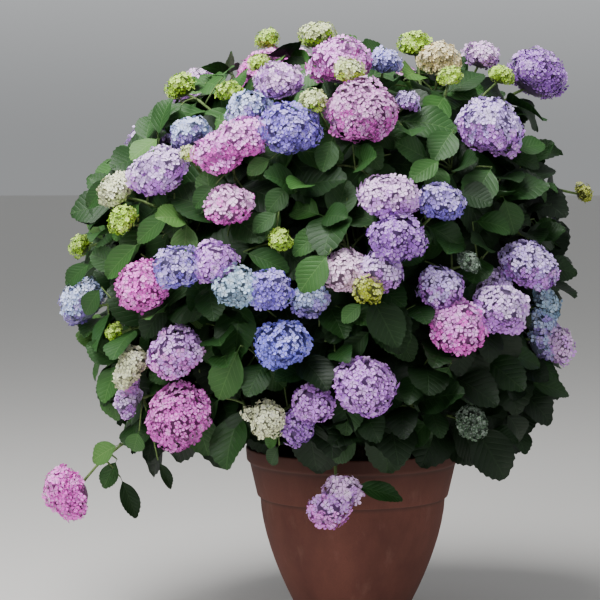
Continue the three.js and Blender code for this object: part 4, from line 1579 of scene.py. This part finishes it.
def place_florets(place, axis, breadth, size, random):
    """A head's florets, even over its knobs: their frames, their places, how far each lies
    in the hollows between the knobs, from 0 to 1, and how far each faces up, from -1 to 1"""
    area = math.pi * breadth ** 2 * HEAD_SKIN
    spacing = size * FLORET_SPACING
    count = int(area * (1 - HEAD_COVER) / 2 / (ROW_SPACING * spacing ** 2))
    ways = even_over_ball(count, HEAD_COVER, random)
    knobs = even_over_ball(max(LEAST_KNOBS, round(area / KNOB_AREA)), KNOB_COVER, random)
    near = ways @ knobs.T
    own = knobs[near.argmax(axis=1)]
    sizes = random.uniform(*KNOB_SIZES, len(knobs))
    hollow = np.clip((1 - near.max(axis=1)) * len(knobs) / KNOB_EDGE, 0, 1)
    weights = np.exp((near - 1) * len(knobs))
    swell = (weights * sizes).sum(axis=1) / weights.sum(axis=1)
    swell = (1 + KNOB_HOLLOW * (KNOB_LEVEL - hollow)) * swell
    half = breadth / 2 * swell - size * FLORET_SINK
    half += random.uniform(-1, 1, count) * FLORET_JITTER
    rise = np.where(ways[:, 2] > 0, HEAD_RISE, HEAD_DEPTH) * 2
    local = ways * half[:, None]
    local[:, 2] *= rise
    normal = ways + (ways - own) * KNOB_LEAN
    normal[:, 2] /= rise
    normal = units(normal)
    normal = units(normal + random.normal(0, FLORET_TILT, normal.shape))
    basis = axes_about(axis)
    normal = normal @ basis
    first = units(np.cross(normal, random.normal(0, 1, normal.shape)))
    frames = np.stack([first, np.cross(normal, first), normal], axis=1)
    frames *= (size * random.uniform(*FLORET_SIZES, count))[:, None, None]
    return frames, local @ basis + place, hollow, normal[:, 2]


def hue_slot(hue):
    """The material slot of a hue's first tone"""
    return list(HUES).index(hue) * len(TONES)


def floret_slots(hue, hollow, rise, bead_slot, random):
    """The slots of each floret's inner faces, outer faces and bead"""
    # painted light and shade: florets in the hollows take darker tones, those facing up lighter
    # ones
    picks = hollow * HOLLOW_SHADE_TONES - rise * FACING_LIGHT_TONES + random.uniform(*TONE_SCATTER, len(rise))
    picks = np.clip(picks.astype(int), 0, len(FLORET_TONES) - 1)
    hues = np.full(len(rise), hue_slot(hue))
    if hue in BLUSHES:
        blushed = rise + random.normal(0, BLUSH_SCATTER, len(rise)) < BLUSH_RISE
        hues[blushed] = hue_slot(BLUSHES[hue])
    petals = hues[:, None] + FLORET_TONES[picks]
    return np.column_stack([petals, np.full(len(rise), bead_slot)])


def make_blossom(masses, finishes, random):
    """The flower heads, each of many florets about a core painted in shade"""
    for side in SIDES:
        pile = Pile()
        heads = [head for mass in on_side(masses, side) for head in mass["heads"]]
        for place, breadth, hue, axis in lobes_of(heads):
            size = floret_size(breadth, hue)
            frames, places, hollow, rise = place_florets(place, axis, breadth, size, random)
            forms = random.randint(len(FLORET_FORMS), size=len(places))
            slots = floret_slots(hue, hollow, rise, finishes.bead_slot, random)
            for form, shape in enumerate(FLORET_FORMS):
                chosen = forms == form
                if chosen.any():
                    pile.add(shape, laid(shape, frames[chosen], places[chosen]), slots[chosen])
            # painted shade: the core takes the hue's shade tone, a dark ball for the shade between
            # the florets
            ball = axes_about(axis) * [[1], [1], [HEAD_RISE * 2]] * (breadth / 2 * HEAD_CORE)
            pile.add(SHADE_CORE, laid(SHADE_CORE, ball[None], place[None]), [[hue_slot(hue) + SHADE]])
        mesh = pile.joined()
        slots = np.zeros(len(mesh.polygons), np.int32)
        mesh.polygons.foreach_get("material_index", slots)
        used, slots = np.unique(slots, return_inverse=True)
        mesh.polygons.foreach_set("material_index", slots.astype(np.int32))
        piece(f"blossom_{side}", mesh, foliage_nodes(masses, side),
              [finishes.petals[i] for i in used])


def make_studio():
    """The camera, a pale floor, a soft sky that brightens upwards, and three lamps"""
    scene = bpy.context.scene
    camera = bpy.data.cameras.new("camera")
    camera.lens = LENS
    camera.sensor_width = SENSOR_WIDTH
    scene.camera = put("camera", camera)
    scene.camera.location = EYE
    scene.camera.rotation_euler = (math.pi / 2 + EYE_PITCH, 0, 0)

    bm = bmesh.new()
    bmesh.ops.create_circle(bm, cap_ends=True, segments=FLOOR_SIDES, radius=FLOOR_RADIUS)
    pale = Finish("pale floor", (212, 210, 206), 0.8).material
    put("floor", mesh_from(bm, smooth=False), [pale])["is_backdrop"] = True

    scene.world = bpy.data.worlds.new("studio")
    scene.world.use_nodes = True
    world = Wiring(scene.world.node_tree)
    sky = world.tree.nodes["Background"].inputs
    sky["Color"].default_value = SKY_COLOUR
    height = world.node("SeparateXYZ", {0: world.node("TexCoord")["Generated"]})[2]
    seen = world.mixed_value(world.ramped(height, 0.0, SKY_RISE), SKY_LOW, SKY_SEEN)
    sight = world.node("LightPath")["Is Camera Ray"]
    world.feed(sky["Strength"], world.mixed_value(sight, SKY_LIGHT, seen))

    for name, place, size, power in LAMPS:
        lamp = bpy.data.lights.new(name, "AREA")
        lamp.shape = "DISK"
        lamp.size = size
        lamp.energy = power
        made = put(name, lamp)
        made.location = place
        aim = LAMPS_AIM - place
        lean = math.atan2(math.hypot(aim[0], aim[1]), -aim[2])
        made.rotation_euler = (lean, 0, math.atan2(-aim[0], aim[1]))


def main():
    random = np.random.RandomState(SEED)
    finishes = Finishes()
    shown = shown_masses()
    masses = shown + far_masses([head for mass in shown for head in mass["heads"]])
    for mass in masses:
        mass["side"] = side_of(mass)
    lead_lines(masses)
    bear_young_heads(masses)
    set_heads(masses)
    room = Room([head for mass in masses for head in mass["heads"]])
    shoots = grow_shoots(masses, room)
    twigs = grow_twigs(shoots, room)
    stalks = grow_stalks(shoots, room)
    leaves = grow_leaves(shoots, twigs, stalks, room, random)
    make_studio()
    make_pot(finishes)
    make_compost(finishes)
    make_stool(finishes)
    make_canes(masses, finishes)
    make_shoots(masses, shoots, twigs + stalks, finishes)
    make_leaves(leaves, masses, finishes)
    make_blossom(masses, finishes, random)


main()
